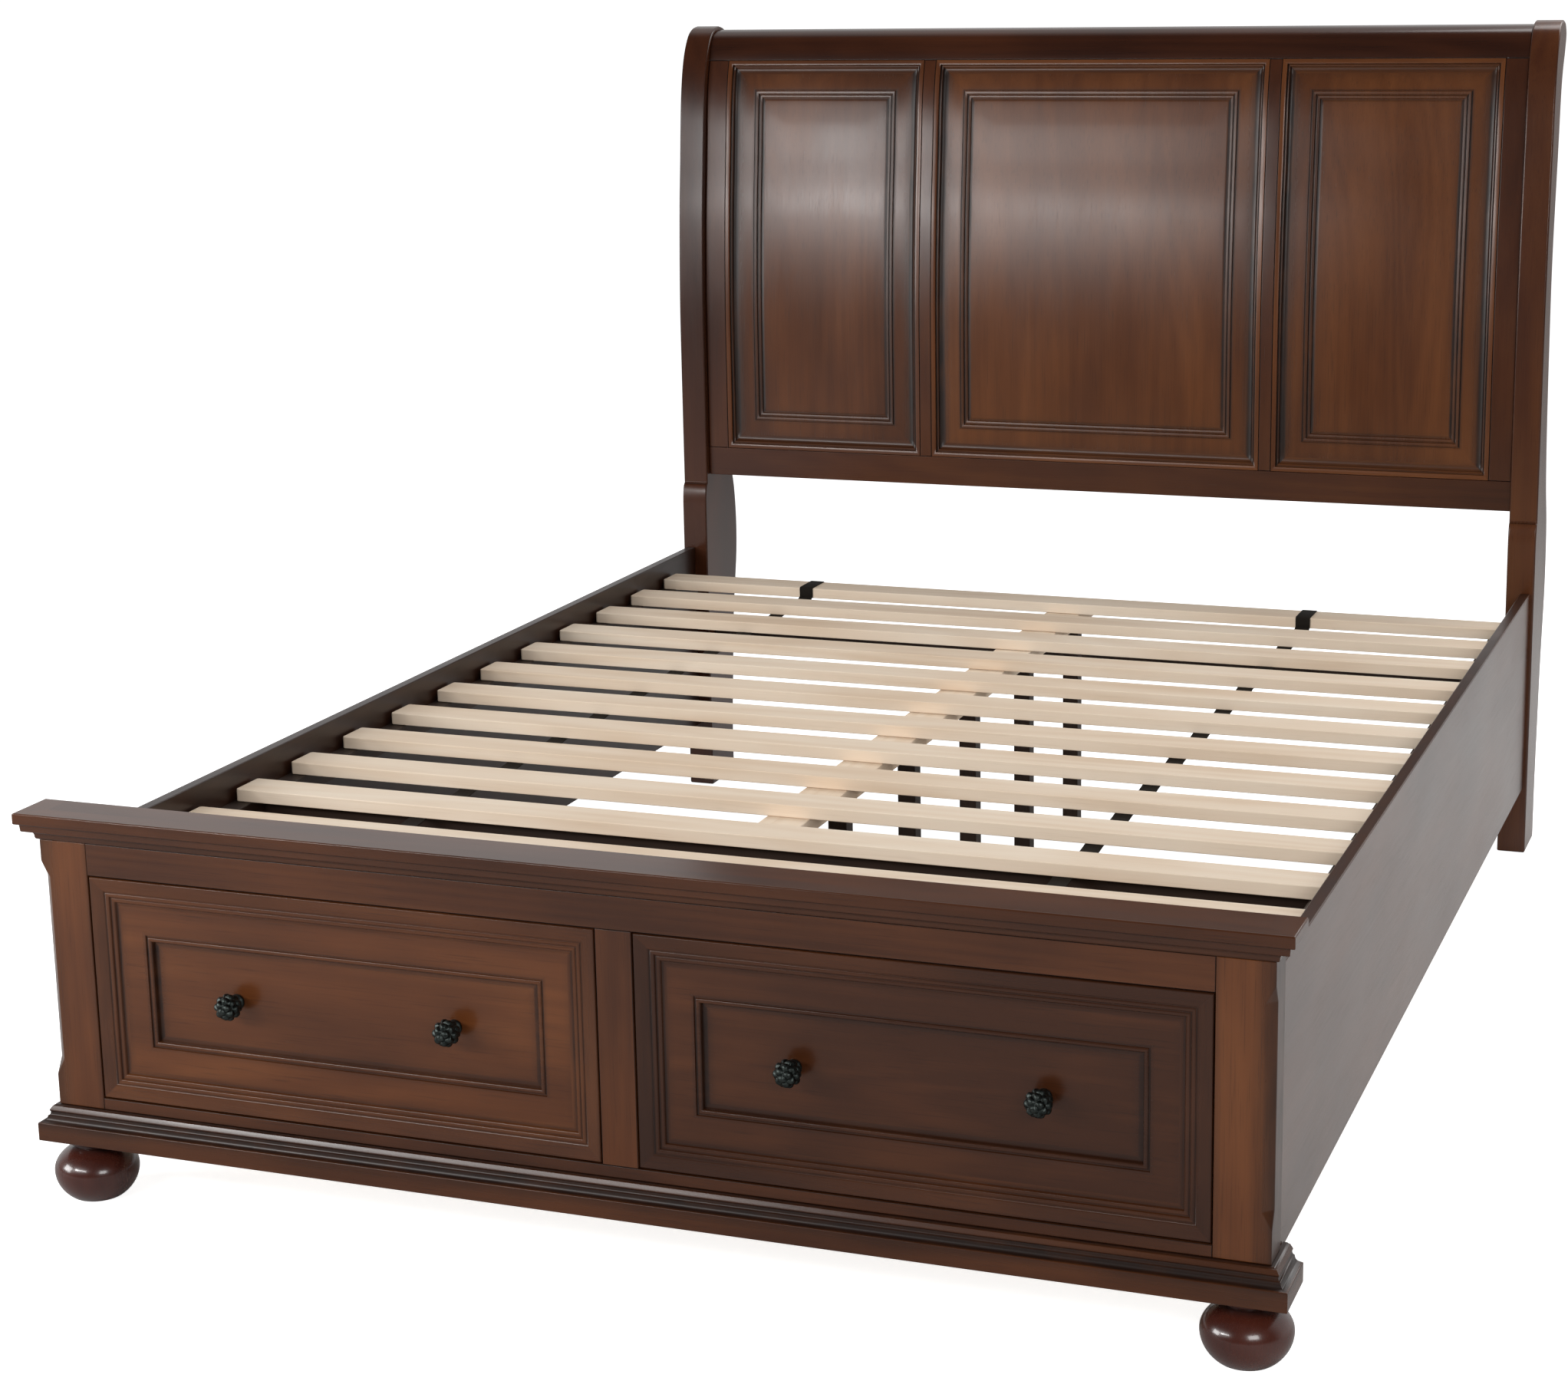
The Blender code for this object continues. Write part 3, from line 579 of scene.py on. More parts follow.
def remade(node, axis, edge, joint=SOME_GLAZE_AND_SHADE, sharp=EDGE_ANGLE, cuts=(), shade=None):
    """A CAD node's own solid with eased edges, dark glaze and painted shade in them, and grain along
    an axis. Where shade(place) is given it sets the glaze and painted shade instead, and the cuts
    are x positions of extra loops of edges, so that it can darken part of a face."""
    name = node + "_wood"
    bm = bmesh.new()
    bm.from_mesh(frame["nodes"][node].data)
    bmesh.ops.remove_doubles(bm, verts=bm.verts, dist=WELD)
    bmesh.ops.dissolve_limit(bm, angle_limit=FLAT_ENOUGH, verts=bm.verts, edges=bm.edges)
    crisp = [e for e in bm.edges if len(e.link_faces) == 2 and e.calc_face_angle(0) > sharp]
    how = {"offset": edge, "segments": EDGE_SEGMENTS, "profile": EDGE_PROFILE, "affect": "EDGES"}
    eased = bmesh.ops.bevel(bm, geom=crisp, **how)
    rounded = set(eased["faces"])
    dark = [joint if rounded.issuperset(v.link_faces) else 0.0 for v in bm.verts]
    if shade:
        for x in cuts:
            every = bm.verts[:] + bm.edges[:] + bm.faces[:]
            bmesh.ops.bisect_plane(bm, geom=every, plane_co=(x, 0, 0), plane_no=(1, 0, 0))
        if cuts:
            put_in_order(bm)
        dark = [shade(v.co) for v in bm.verts]
    mesh = bpy.data.meshes.new(name)
    bm.to_mesh(mesh)
    bm.free()
    mesh.materials.clear()
    mesh.attributes.new("glaze_and_shade", "FLOAT", "POINT").data.foreach_set("value", dark)
    shift = plank_shift(name)
    corners = [mesh.vertices[corner.vertex_index].co for corner in mesh.loops]
    set_grain(mesh, [grain_at(place, axis) + shift for place in corners])
    level_faces(finish_piece(name, mesh, node, SMOOTH_BOARD))


# ---------------------------------------------------------------- moulding profiles
def quarter(start, end, first, steps=5):
    """A quarter round from start to end, leaving start level ("in") or steeply ("down")."""
    points = []
    for i in range(1, steps + 1):
        angle = math.pi / 2 * i / steps
        slow = 1 - math.cos(angle)
        fast = math.sin(angle)
        across, fall = (fast, slow) if first == "in" else (slow, fast)
        points.append((start[0] + (end[0] - start[0]) * across, start[1] + (end[1] - start[1]) * fall))
    return points


def profile(start, *moves):
    """A moulding's section, given in mm as (inset, depth, glaze and painted shade) and then moves of
    (inset, depth, kind, glaze and painted shade), where kind is "to" for a straight run, or "in" or
    "down" for a quarter round. Gives (inset, depth, glaze and painted shade) points in metres. The
    darkness is partly real glaze and partly painted shade in the coves, walls and grooves."""
    points = [start]
    here = start[:2]
    before = start[2]
    for inset, depth, kind, glaze_and_shade in moves:
        run = [(inset, depth)] if kind == "to" else quarter(here, (inset, depth), kind)
        for i, (x, y) in enumerate(run):
            share = (i + 1) / len(run)
            points.append((x, y, before + (glaze_and_shade - before) * share))
        here = (inset, depth)
        before = glaze_and_shade
    return [(x * MM, y * MM, g) for x, y, g in points]


# The third numbers are glaze and painted shade, highest in the coves, walls and grooves.
HEADBOARD_PROFILE = profile(
    (0.0, 2.0, 1.0),
    (0.3, 0.5, "to", 0.3),
    (0.8, -0.2, "down", 0.0),
    (5.4, -0.05, "to", 0.0),
    (8.0, 0.7, "to", 0.0),
    (8.4, 3.0, "to", 0.7),
    (8.8, 5.0, "to", 1.0),
    (10.2, 5.0, "to", 1.0),
    (11.0, 4.2, "to", 0.6),
    (12.6, 4.8, "to", 0.6),
    (13.4, 6.0, "to", 1.0),
    (20.8, 10.0, "down", 1.0),
    (22.0, 10.0, "to", 0.9),
    (25.0, 10.0, "to", 0.5),
    (36.0, 10.0, "to", 0.15),
    (48.0, 10.0, "to", 0.05),
    (52.6, 10.0, "to", 0.5),
    (53.2, 10.8, "to", 1.0),
    (54.6, 10.8, "to", 1.0),
    (56.0, 8.4, "down", 0.5),
    (59.4, 8.8, "to", 0.5),
    (60.6, 10.6, "in", 0.9),
    (61.0, 11.6, "to", 1.0),
    (62.2, 11.6, "to", 1.0),
    (63.8, 10.5, "down", 0.6),
    (66.6, 10.9, "to", 0.6),
    (67.8, 12.8, "in", 1.0),
    (68.2, 13.3, "to", 1.0),
    (71.0, 13.3, "to", 1.0),
    (71.6, 13.0, "to", 0.6),
    (74.0, 13.0, "to", 0.18),
    (82.0, 13.0, "to", 0.04),
    (110.0, 13.0, "to", 0.0),
)
DRAWER_PROFILE = profile(
    (0.0, 2.8, 1.0),
    (0.6, 1.6, "to", 0.9),
    (2.2, 0.0, "down", 0.6),
    (5.0, 0.2, "to", 0.5),
    (17.0, 2.6, "to", 0.5),
    (18.6, 3.2, "to", 0.6),
    (19.4, 4.2, "to", 0.9),
    (20.4, 4.2, "to", 0.9),
    (23.0, 3.2, "down", 0.35),
    (25.8, 5.0, "in", 0.5),
    (26.4, 6.0, "to", 0.9),
    (27.4, 6.0, "to", 0.9),
    (30.0, 5.2, "down", 0.35),
    (32.8, 7.2, "in", 0.5),
    (33.6, 8.4, "to", 0.9),
    (35.6, 8.4, "to", 0.9),
    (36.4, 8.0, "to", 0.6),
    (40.0, 8.0, "to", 0.2),
    (48.0, 8.0, "to", 0.0),
    (68.0, 8.0, "to", 0.0),
    (73.0, 8.0, "to", 0.5),
    (73.8, 9.8, "to", 1.0),
    (75.4, 9.8, "to", 1.0),
    (78.4, 7.9, "down", 0.35),
    (81.4, 10.4, "in", 0.9),
    (82.0, 14.0, "to", 1.0),
    (87.0, 14.0, "to", 1.0),
    (89.0, 14.0, "to", 0.35),
    (97.0, 14.0, "to", 0.08),
    (110.0, 14.0, "to", 0.0),
)


def run_length(section):
    """Distance along the section to each of its points."""
    total = 0.0
    lengths = [0.0]
    for (x0, y0, _), (x1, y1, _) in zip(section, section[1:]):
        total += math.hypot(x1 - x0, y1 - y0)
        lengths.append(total)
    return lengths


def framed_panel(node, section, mitre, thickness, surface, steps, field_axis, sides):
    """A panel moulded round all four sides, which follows surface(z) in that many steps. The
    grain is mitred as far in as `mitre`, and `sides` says how much of the glaze and painted shade
    each of the left, top, right and bottom sides keeps: painted shade, kept more on the sides that
    the light leaves darker."""
    low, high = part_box(node)
    shape = Shape()
    levels = [(0.0, thickness, 0.0), *section]
    lengths = [-thickness, *run_length(section)]
    loops = []
    for inset, depth, glaze_and_shade in levels:
        bottom = low.z + inset
        rise = high.z - low.z - 2 * inset
        heights = [bottom + rise * i / steps for i in range(steps + 1)]
        places = [(low.x + inset, surface(z) + depth, z) for z in heights]
        places += [(high.x - inset, surface(z) + depth, z) for z in reversed(heights)]
        loops.append(shape.loop(places, glaze_and_shade))
    count = 2 * steps + 2
    for k, (outer, inner) in enumerate(zip(loops, loops[1:])):
        near, far = lengths[k], lengths[k + 1]
        for i in range(count):
            j = (i + 1) % count
            corners = (outer[i], outer[j], inner[j], inner[i])
            # The share of glaze and painted shade this side keeps: painted shade for how the light falls
            # on it.
            side_shade = sides[(i >= steps) + (i > steps) + (i == count - 1)]
            if levels[k][0] > mitre:
                shape.face(corners, [grain_at(shape.points[c], field_axis) for c in corners], side_shade)
                continue
            level = i == steps or i == count - 1
            along = 0 if level else 2
            side = MITRE_SHIFT * (1 + (i > steps) + 2 * level)
            across = (near, near, far, far)
            grain = [(shape.points[c][along], side + s, 0.0) for c, s in zip(corners, across)]
            shape.face(corners, grain, side_shade)
    last = count - 1
    for loop in (loops[0], loops[-1]):
        for i in range(steps):
            corners = (loop[i], loop[i + 1], loop[last - i - 1], loop[last - i])
            shape.face(corners, [grain_at(shape.points[c], field_axis) for c in corners])
    level_faces(shape.object(node + "_moulded", node))


def moulded_slab(node, section, back):
    """A board across the footboard with one moulding along its front and both ends, its back at
    y = back. The section gives (overhang, height, glaze and painted shade) from the bottom up,
    with the faces of the corner posts as zero."""
    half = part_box("foot_post_right")[1].x
    share = (FOOT_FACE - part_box(node)[0].y) / (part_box(node)[1].x - half)
    shape = Shape()
    loops = []
    for overhang, height, glaze_and_shade in section:
        x = half + overhang
        y = FOOT_FACE - overhang * share
        places = ((-x, back, height), (-x, y, height), (x, y, height), (x, back, height))
        loops.append(shape.loop(places, glaze_and_shade))
    lengths = run_length([(x, z, g) for x, z, g in section])
    for (lower, upper), (near, far) in zip(zip(loops, loops[1:]), zip(lengths, lengths[1:])):
        for i, along in ((0, 1), (1, 0), (2, 1), (3, 0)):
            j = (i + 1) % 4
            corners = (lower[i], lower[j], upper[j], upper[i])
            across = (near, near, far, far)
            grain = [(shape.points[c][along], SLAB_SHIFT * i + s, 0.0) for c, s in zip(corners, across)]
            shape.face(corners, grain)
    for loop in (loops[0], loops[-1]):
        shape.face(loop, [grain_at(shape.points[c], "X") for c in loop])
    return shape


# ---------------------------------------------------------------- headboard
def headboard_surface():
    """The headboard frame's front, read from the CAD stile as a smooth function of height."""
    nearest = {}
    for vertex in frame["nodes"]["headboard_stile_left"].data.vertices:
        z = round(vertex.co.z, 5)
        nearest[z] = min(nearest.get(z, math.inf), vertex.co.y)
    heights = np.array(sorted(nearest))
    depths = np.array([nearest[z] for z in heights])
    slopes = np.gradient(depths, heights)

    def surface(z):
        """A cubic between the two nearest heights, with the slopes of the stile at both."""
        i = int(np.clip(np.searchsorted(heights, z) - 1, 0, len(heights) - 2))
        span = heights[i + 1] - heights[i]
        t = (z - heights[i]) / span
        start = (1 + 2 * t) * (1 - t) ** 2 * depths[i] + t * (1 - t) ** 2 * span * slopes[i]
        end = t * t * (3 - 2 * t) * depths[i + 1] + t * t * (t - 1) * span * slopes[i + 1]
        return float(start + end)

    return surface


def build_headboard():
    surface = headboard_surface()
    for word in ("left", "centre", "right"):
        framed_panel(
            f"headboard_panel_{word}",
            HEADBOARD_PROFILE,
            HEADBOARD_MITRE,
            HEADBOARD_THICKNESS,
            surface,
            HEADBOARD_ROWS,
            "Z",
            HEADBOARD_SIDE_SHADE,
        )
    for word in ("left", "right"):
        remade(f"head_post_{word}", "Z", HEAD_POST_EDGE)
        remade(f"headboard_stile_{word}", "Z", STILE_EDGE, joint=FULL_GLAZE_AND_SHADE)
        remade(f"headboard_muntin_{word}", "Z", STILE_EDGE, joint=FULL_GLAZE_AND_SHADE)
    remade("headboard_bottom_rail", "X", THIN_EDGE)
    remade("headboard_crest_rail", "X", CREST_EDGE)
    remade("head_stretcher", "X", RAIL_EDGE)


# ---------------------------------------------------------------- side rails and slatted base
def rail_shade(node):
    """Painted shade on a rail's top and inner face, which ends in the rounding of its outer edges."""
    low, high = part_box(node)
    outer = max(abs(low.x), abs(high.x))
    return lambda place: RAIL_PAINTED_SHADE * min(1.0, (outer - abs(place.x)) / RAIL_EDGE)


def build_base():
    for word in ("left", "right"):
        node = f"side_rail_{word}"
        remade(node, "Y", RAIL_EDGE, shade=rail_shade(node))
        remade(f"slat_cleat_{word}", "Y", BOARD_EDGE)
    for node in sorted(frame["nodes"]):
        if node.startswith("centre_leg"):
            remade(node, "Z", BEAM_EDGE)
    for node in SLATS:
        remade(node, "X", SLAT_EDGE, joint=NO_GLAZE_OR_SHADE)
    remade("centre_beam", "Y", BEAM_EDGE, joint=NO_GLAZE_OR_SHADE)


def strap_route():
    """Side view (y, z) of a strap: round the slat nearest the head, then under all the others,
    with a little sag in each gap."""
    last_low, last_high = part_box(SLATS[-1])
    first_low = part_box(SLATS[0])[0]
    off = STRAP_THICKNESS / 2 + STRAP_CLEARANCE
    top = last_high.z + off
    under = last_low.z - off
    back = last_high.y + off
    front = last_low.y - off
    route = [(back - STRAP_TAIL, under), (back - STRAP_BEND, under), (back, under + STRAP_BEND)]
    route += [(back, top - STRAP_BEND), (back - STRAP_BEND, top)]
    route += [(front + STRAP_BEND, top), (front, top - STRAP_BEND), (front, under + STRAP_SAG)]
    pitch = last_low.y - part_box(SLATS[-2])[0].y
    slat = last_high.y - last_low.y
    gap = pitch - slat
    for i in range(1, len(SLATS)):
        edge = last_high.y - i * pitch
        for step in range(0 if i > 1 else 1, STRAP_SAG_STEPS):
            t = step / STRAP_SAG_STEPS
            y = edge + gap * (1 - t)
            route.append((y, under - STRAP_SAG * 4 * t * (1 - t)))
        route.append((edge, under))
        route.append((max(edge - slat, first_low.y), under))
    return route


def strap_shape(x, route):
    """A flat band along the route, with its length as the first number of its grain."""
    shape = Shape()
    half = STRAP_WIDTH / 2
    loops = []
    travelled = 0.0
    lengths = []
    for i, (y, z) in enumerate(route):
        before = Vector(route[max(i - 1, 0)])
        after = Vector(route[min(i + 1, len(route) - 1)])
        heading = (after - before).normalized()
        normal = Vector((-heading.y, heading.x)) * STRAP_THICKNESS / 2
        if i:
            travelled += (Vector(route[i]) - Vector(route[i - 1])).length
        lengths.append(travelled)
        sides = ((-half, 1), (half, 1), (half, -1), (-half, -1))
        loops.append(shape.loop([(x + dx, y + s * normal.x, z + s * normal.y) for dx, s in sides]))
    for (a, b), (near, far) in zip(zip(loops, loops[1:]), zip(lengths, lengths[1:])):
        for i in range(4):
            j = (i + 1) % 4
            corners = (a[i], a[j], b[j], b[i])
            along = (near, near, far, far)
            shape.face(corners, [(s, shape.points[c][0], 0.0) for c, s in zip(corners, along)])
    for loop in (loops[0], loops[-1]):
        shape.face(loop, [(0.0, shape.points[c][0], 0.0) for c in loop])
    return shape


def build_straps():
    route = strap_route()
    for number, x in enumerate(STRAP_X, 1):
        shape = strap_shape(x, route)
        name = f"slat_strap_{number}"
        mesh = bpy.data.meshes.new(name)
        mesh.from_pydata(shape.points, [], shape.faces)
        set_grain(mesh, shape.grain)
        turn_outwards(mesh)
        mesh.shade_smooth()
        mesh.set_sharp_from_angle(angle=SMOOTH_TURNED)
        mesh.materials.append(WEBBING)
        obj = bpy.data.objects.new(name, mesh)
        bpy.context.scene.collection.objects.link(obj)
        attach(obj, "bed")


# ---------------------------------------------------------------- footboard
CAP_PROFILE = profile(
    (0.6, 484.3, 0.9),
    (1.8, 484.9, "to", 0.6),
    (4.2, 489.2, "in", 0.25),
    (8.4, 494.6, "down", 0.35),
    (8.6, 495.6, "to", 0.9),
    (15.6, 496.2, "to", 0.7),
    (17.2, 497.8, "in", 0.25),
    (17.8, 504.6, "to", 0.25),
    (17.8, 506.2, "to", 0.8),
    (21.6, 506.3, "to", 0.6),
    (24.0, 508.4, "in", 0.25),
    (24.0, 519.3, "to", 0.15),
    (21.8, 521.5, "down", 0.02),
    (-10.0, 521.5, "to", 0.0),
)
PLINTH_PROFILE = profile(
    (20.4, 81.0, 0.4),
    (22.6, 82.6, "in", 0.15),
    (22.6, 92.0, "to", 0.15),
    (22.6, 104.4, "to", 0.55),
    (21.2, 106.0, "down", 0.2),
    (20.0, 106.2, "to", 0.8),
    (17.6, 106.9, "to", 1.0),
    (12.6, 113.6, "in", 1.0),
    (11.8, 114.2, "to", 0.8),
    (9.4, 119.0, "in", 1.0),
    (10.6, 120.6, "to", 0.6),
    (10.1, 122.0, "to", 0.35),
    (7.1, 126.3, "to", 0.35),
    (5.2, 126.7, "to", 0.7),
    (3.6, 127.7, "to", 0.9),
    (-10.0, 127.7, "to", 0.9),
)


def build_slabs():
    for node, section in (("foot_cap", CAP_PROFILE), ("foot_plinth", PLINTH_PROFILE)):
        slab = moulded_slab(node, section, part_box(node)[1].y)
        piece = slab.object(node + "_moulded", node)
        if node == "foot_plinth":
            cut_rebate(piece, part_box(node)[1].z)
        level_faces(piece)


def cut_rebate(plinth, top):
    """Cuts the plinth away behind the corner posts, all but its two returns, which run on
    outside the side rails."""
    bm = bmesh.new()
    bmesh.ops.create_cube(bm, size=1.0)
    width = 2 * (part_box("side_rail_right")[1].x + REBATE_SLACK)
    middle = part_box("foot_post_right")[1].y + REBATE_DEPTH / 2
    bmesh.ops.scale(bm, vec=(width, REBATE_DEPTH, REBATE_HEIGHT), verts=bm.verts)
    bmesh.ops.translate(bm, vec=(0, middle, top), verts=bm.verts)
    mesh = bpy.data.meshes.new("plinth_rebate")
    bm.to_mesh(mesh)
    bm.free()
    cutter = bpy.data.objects.new("plinth_rebate", mesh)
    bpy.context.scene.collection.objects.link(cutter)
    cutter.hide_render = True
    cutter.hide_viewport = True
    cut = plinth.modifiers.new("rebate", "BOOLEAN")
    cut.operation = "DIFFERENCE"
    cut.object = cutter


def turned_piece(name, node, outline, centre, steps, axis="Z"):
    """A lathe-turned piece. The outline is (radius, height, glaze and painted shade) points, top to
    bottom, and an outline that starts and ends at radius 0 closes it. Turned round Y, its top
    points to -Y."""
    shape = Shape()
    loops = []
    for radius, height, glaze_and_shade in outline:
        if radius == 0:
            loops.append([shape.point(Vector((0, 0, height)), glaze_and_shade)])
            continue
        places = []
        for i in range(steps):
            angle = 2 * math.pi * i / steps
            places.append((radius * math.cos(angle), radius * math.sin(angle), height))
        loops.append(shape.loop(places, glaze_and_shade))
    for upper, lower in zip(loops, loops[1:]):
        for i in range(steps):
            j = (i + 1) % steps
            corners = [upper[i % len(upper)], upper[j % len(upper)]]
            corners += [lower[j % len(lower)], lower[i % len(lower)]]
            corners = list(dict.fromkeys(corners))
            shape.face(corners, [grain_at(shape.points[c], "Z") for c in corners])
    turn = Matrix.Rotation(math.pi / 2, 3, "X") if axis == "Y" else Matrix.Identity(3)
    shape.points = [tuple(turn @ Vector(p) + centre) for p in shape.points]
    shape.object(name, node, SMOOTH_TURNED)


def bun_outline():
    """From the collar under the plinth down: a small cove, a squashed ball and a flat base, with glaze
    and painted shade in the cove, on the top of the ball under the collar and on the base.
    """
    points = [(0.0, 80.7, 0.6)]
    points += [(BUN_NECK + out, height, glaze_and_shade) for out, height, glaze_and_shade in BUN_COLLAR]
    for i in range(BUN_ROWS + 1):
        angle = BUN_TOP_ANGLE * (1 - i / BUN_ROWS)
        # Glaze and painted shade on the top of the ball, under the collar, fading out downwards.
        fade = max(0.0, 0.5 - i * 0.12)
        points.append((BUN_RADIUS * math.cos(angle), BUN_WIDEST * (1 + math.sin(angle)), fade))
    base = math.acos(BUN_BASE / BUN_RADIUS)
    below = BUN_WIDEST / math.sin(base)
    for i in range(1, BUN_ROWS + 1):
        angle = -base * i / BUN_ROWS
        points.append((BUN_RADIUS * math.cos(angle), BUN_WIDEST + below * math.sin(angle), 0.0))
    points.append((BUN_BASE - 2, 0.0, 0.3))
    points.append((0.0, 0.0, 0.3))
    return [(r * MM, z * MM, g) for r, z, g in points]


def foot_post(word):
    """Darker along both edges of the post's face, fading out towards its middle."""
    low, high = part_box(f"foot_post_{word}")
    outer, inner = (low.x, high.x) if word == "left" else (high.x, low.x)
    width = high.x - low.x

    def shade(place):
        from_outer = abs(place.x - outer) / width
        from_inner = abs(place.x - inner) / width
        at_outer = POST_OUTER_DARKENING - POST_OUTER_FADE * from_outer
        at_inner = POST_INNER_DARKENING - POST_INNER_FADE * from_inner
        return max(0.0, at_outer, at_inner)

    cuts = [outer + (inner - outer) * share for share in POST_CUTS]
    remade(f"foot_post_{word}", "Z", FOOT_POST_EDGE, sharp=CHAMFER_ANGLE, cuts=cuts, shade=shade)


def build_footboard():
    for word in ("left", "right"):
        foot_post(word)
        node = f"bun_foot_{word}"
        low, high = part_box(node)
        centre = Vector(((low.x + high.x) / 2, (low.y + high.y) / 2, 0))
        turned_piece(node + "_turned", node, bun_outline(), centre, BUN_STEPS)
    remade("foot_top_rail", "X", BOARD_EDGE, joint=FULL_GLAZE_AND_SHADE)
    remade("foot_bottom_rail", "X", BOARD_EDGE, joint=FULL_GLAZE_AND_SHADE)
    remade("foot_centre_stile", "Z", BOARD_EDGE, joint=FULL_GLAZE_AND_SHADE)
    remade("drawer_deck", "X", THIN_EDGE)
    remade("storage_back", "X", BOARD_EDGE)
    build_slabs()


# ---------------------------------------------------------------- drawers
def pebbled_ball(centre, radius):
    """A ball covered in small rounded pebbles, which are spread evenly by the golden angle."""
    bm = bmesh.new()
    bmesh.ops.create_icosphere(bm, subdivisions=6, radius=1.0)
    golden = math.pi * (3 - math.sqrt(5))
    seeds = []
    for i in range(PEBBLES):
        height = 1 - 2 * (i + 0.5) / PEBBLES
        ring = math.sqrt(1 - height * height)
        seeds.append((ring * math.cos(golden * i), ring * math.sin(golden * i), height))
    seeds = np.array(seeds)
    places = np.array([v.co.normalized() for v in bm.verts])
    apart = np.sort(np.arccos(np.clip(places @ seeds.T, -1, 1)), axis=1)
    dome = np.sqrt(np.clip((apart[:, 1] - apart[:, 0]) / PEBBLE_WIDTH, 0, 1))
    dome *= 1 - PEBBLE_ROUNDING * apart[:, 0] / PEBBLE_WIDTH
    raised = PEBBLE_FLOOR + (1 - PEBBLE_FLOOR) * dome
    for vertex, place, height in zip(bm.verts, places, raised):
        vertex.co = Vector(place) * float(height) * radius
    bmesh.ops.translate(bm, vec=centre, verts=bm.verts)
    return bm


def build_knob(node):
    low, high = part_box(node)
    centre_x = (low.x + high.x) / 2
    centre_z = (low.z + high.z) / 2
    radius = (high.x - low.x) / 2
    ball = Vector((centre_x, low.y + radius, centre_z))
    bm = pebbled_ball(ball, radius)
    mesh = bpy.data.meshes.new(node + "_pebbled")
    bm.to_mesh(mesh)
    bm.free()
    finish_piece(node + "_pebbled", mesh, node, SMOOTH_PEBBLES)
    reach = high.y - ball.y
    inside = reach - STEM_SHORT
    outline = [(0.0, inside, 0.0), (5.0 * MM, inside, 0.0), (6.0 * MM, reach * 0.55, 0.0)]
    outline += [(radius * MM, height * MM, 0.0) for radius, height in STEM_FOOT]
    turned_piece(node + "_stem", node, outline, Vector((centre_x, high.y, centre_z)), STEM_STEPS, "Y")


def flat(height):
    """The plane that the drawer fronts are measured back from."""
    return FOOT_FACE


def build_drawers():
    for word in ("left", "right"):
        framed_panel(
            f"drawer_{word}_front",
            DRAWER_PROFILE,
            DRAWER_MITRE,
            DRAWER_THICKNESS,
            flat,
            1,
            "X",
            DRAWER_SIDE_SHADE,
        )
        for side in ("left", "right"):
            remade(f"drawer_{word}_{side}_side", "Y", BOARD_EDGE)
        remade(f"drawer_{word}_back", "X", BOARD_EDGE)
        remade(f"drawer_{word}_bottom", "X", DRAWER_BOTTOM_EDGE)
        for place in ("inner", "outer"):
            build_knob(f"drawer_{word}_{place}_knob")


# ---------------------------------------------------------------- stage
def area_light(name, place, target, size, watts):
    data = bpy.data.lights.new(name, "AREA")
    data.shape = "RECTANGLE"
    data.size, data.size_y = size
    data.energy = watts
    light = bpy.data.objects.new(name, data)
    bpy.context.scene.collection.objects.link(light)
    light.location = place
    light.rotation_euler = (Vector(target) - Vector(place)).to_track_quat("-Z", "Y").to_euler()


def light_path(n, output):
    return n.add("ShaderNodeLightPath").outputs[output]


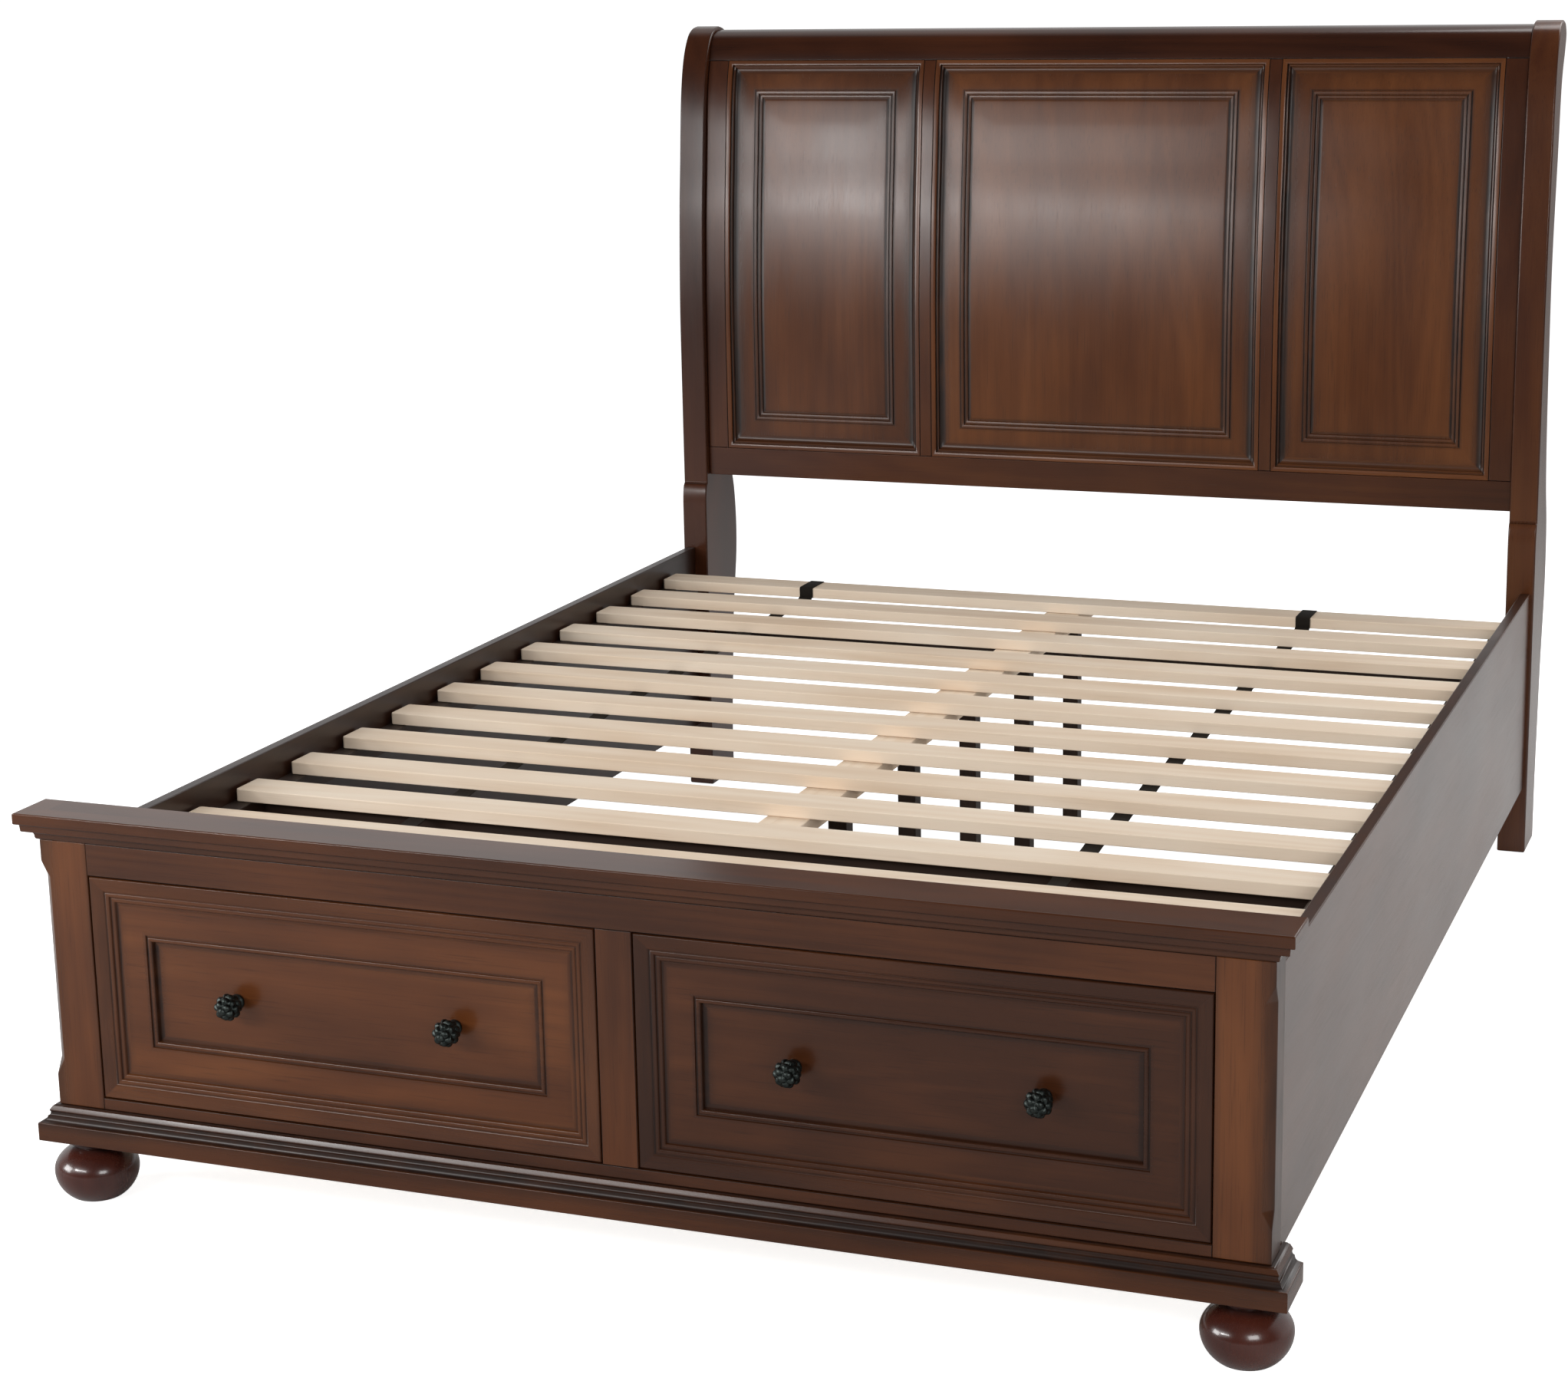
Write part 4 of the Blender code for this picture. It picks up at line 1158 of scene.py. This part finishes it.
def build_floor():
    """A plain white floor, which is greyer in the bed's sheen than it is to the camera."""
    corners = [(x * FLOOR_HALF, y * FLOOR_HALF, 0) for x, y in ((-1, -1), (1, -1), (1, 1), (-1, 1))]
    mesh = bpy.data.meshes.new("floor")
    mesh.from_pydata(corners, [], [(0, 1, 2, 3)])
    material, n, shader = new_material("floor_paper")
    place = n.add("ShaderNodeTexCoord").outputs["Object"]
    paper = n.mix(n.noise(place, scale=0.4, detail=2.0), *FLOOR_SHADES)
    behind = n.add("ShaderNodeSeparateXYZ", {0: place}).outputs["Y"]
    behind = n.remap(behind, FOOT_FACE + FLAG_FROM, FOOT_FACE + FLAG_TO)
    sheen = light_path(n, "Is Glossy Ray")
    flagged = n.remap(behind, 0, 1, FLAG_IN_FRONT, FLAG_BEHIND)
    in_sheen = n.math("MULTIPLY", sheen, flagged)
    n.feed(shader.inputs["Base Color"], n.mix(in_sheen, paper, (0.0, 0.0, 0.0)))
    shader.inputs["Roughness"].default_value = 0.9
    shader.inputs["Specular IOR Level"].default_value = 0.1
    shader.inputs["Emission Color"].default_value = (1.0, 1.0, 1.0, 1.0)
    glow = n.math("MULTIPLY", light_path(n, "Is Camera Ray"), FLOOR_GLOW)
    n.feed(shader.inputs["Emission Strength"], glow)
    mesh.materials.append(material)
    floor = bpy.data.objects.new("floor", mesh)
    bpy.context.scene.collection.objects.link(floor)


def build_world():
    """White behind the bed, a dim room behind the camera, and an even soft light from all round."""
    world = bpy.data.worlds.new("studio")
    bpy.context.scene.world = world
    world.use_nodes = True
    n = Nodes(world.node_tree)
    sky = world.node_tree.nodes["Background"]
    sky.inputs["Color"].default_value = (1.0, 1.0, 1.0, 1.0)
    direction = n.add("ShaderNodeTexCoord").outputs["Generated"]
    ahead = n.add("ShaderNodeSeparateXYZ", {0: direction}).outputs["Y"]
    in_sheen = n.remap(ahead, ROOM_ENDS, BACKDROP_STARTS, ROOM_DIM, BACKDROP)
    strength = n.add("ShaderNodeMix", data_type="FLOAT")
    n.feed(strength.inputs[0], light_path(n, "Is Glossy Ray"))
    n.feed(strength.inputs[2], AMBIENT)
    n.feed(strength.inputs[3], in_sheen)
    seen = n.add("ShaderNodeMix", data_type="FLOAT")
    n.feed(seen.inputs[0], light_path(n, "Is Camera Ray"))
    n.feed(seen.inputs[2], strength.outputs[0])
    n.feed(seen.inputs[3], 1.0)
    n.feed(sky.inputs["Strength"], seen.outputs[0])


def build_stage():
    bpy.context.scene.view_settings.view_transform = "Standard"
    build_floor()
    build_world()
    for name, place, target, size, watts in LIGHTS:
        area_light(name, place, target, size, watts)


build_headboard()
build_base()
build_straps()
build_footboard()
build_drawers()
build_stage()
make_camera()
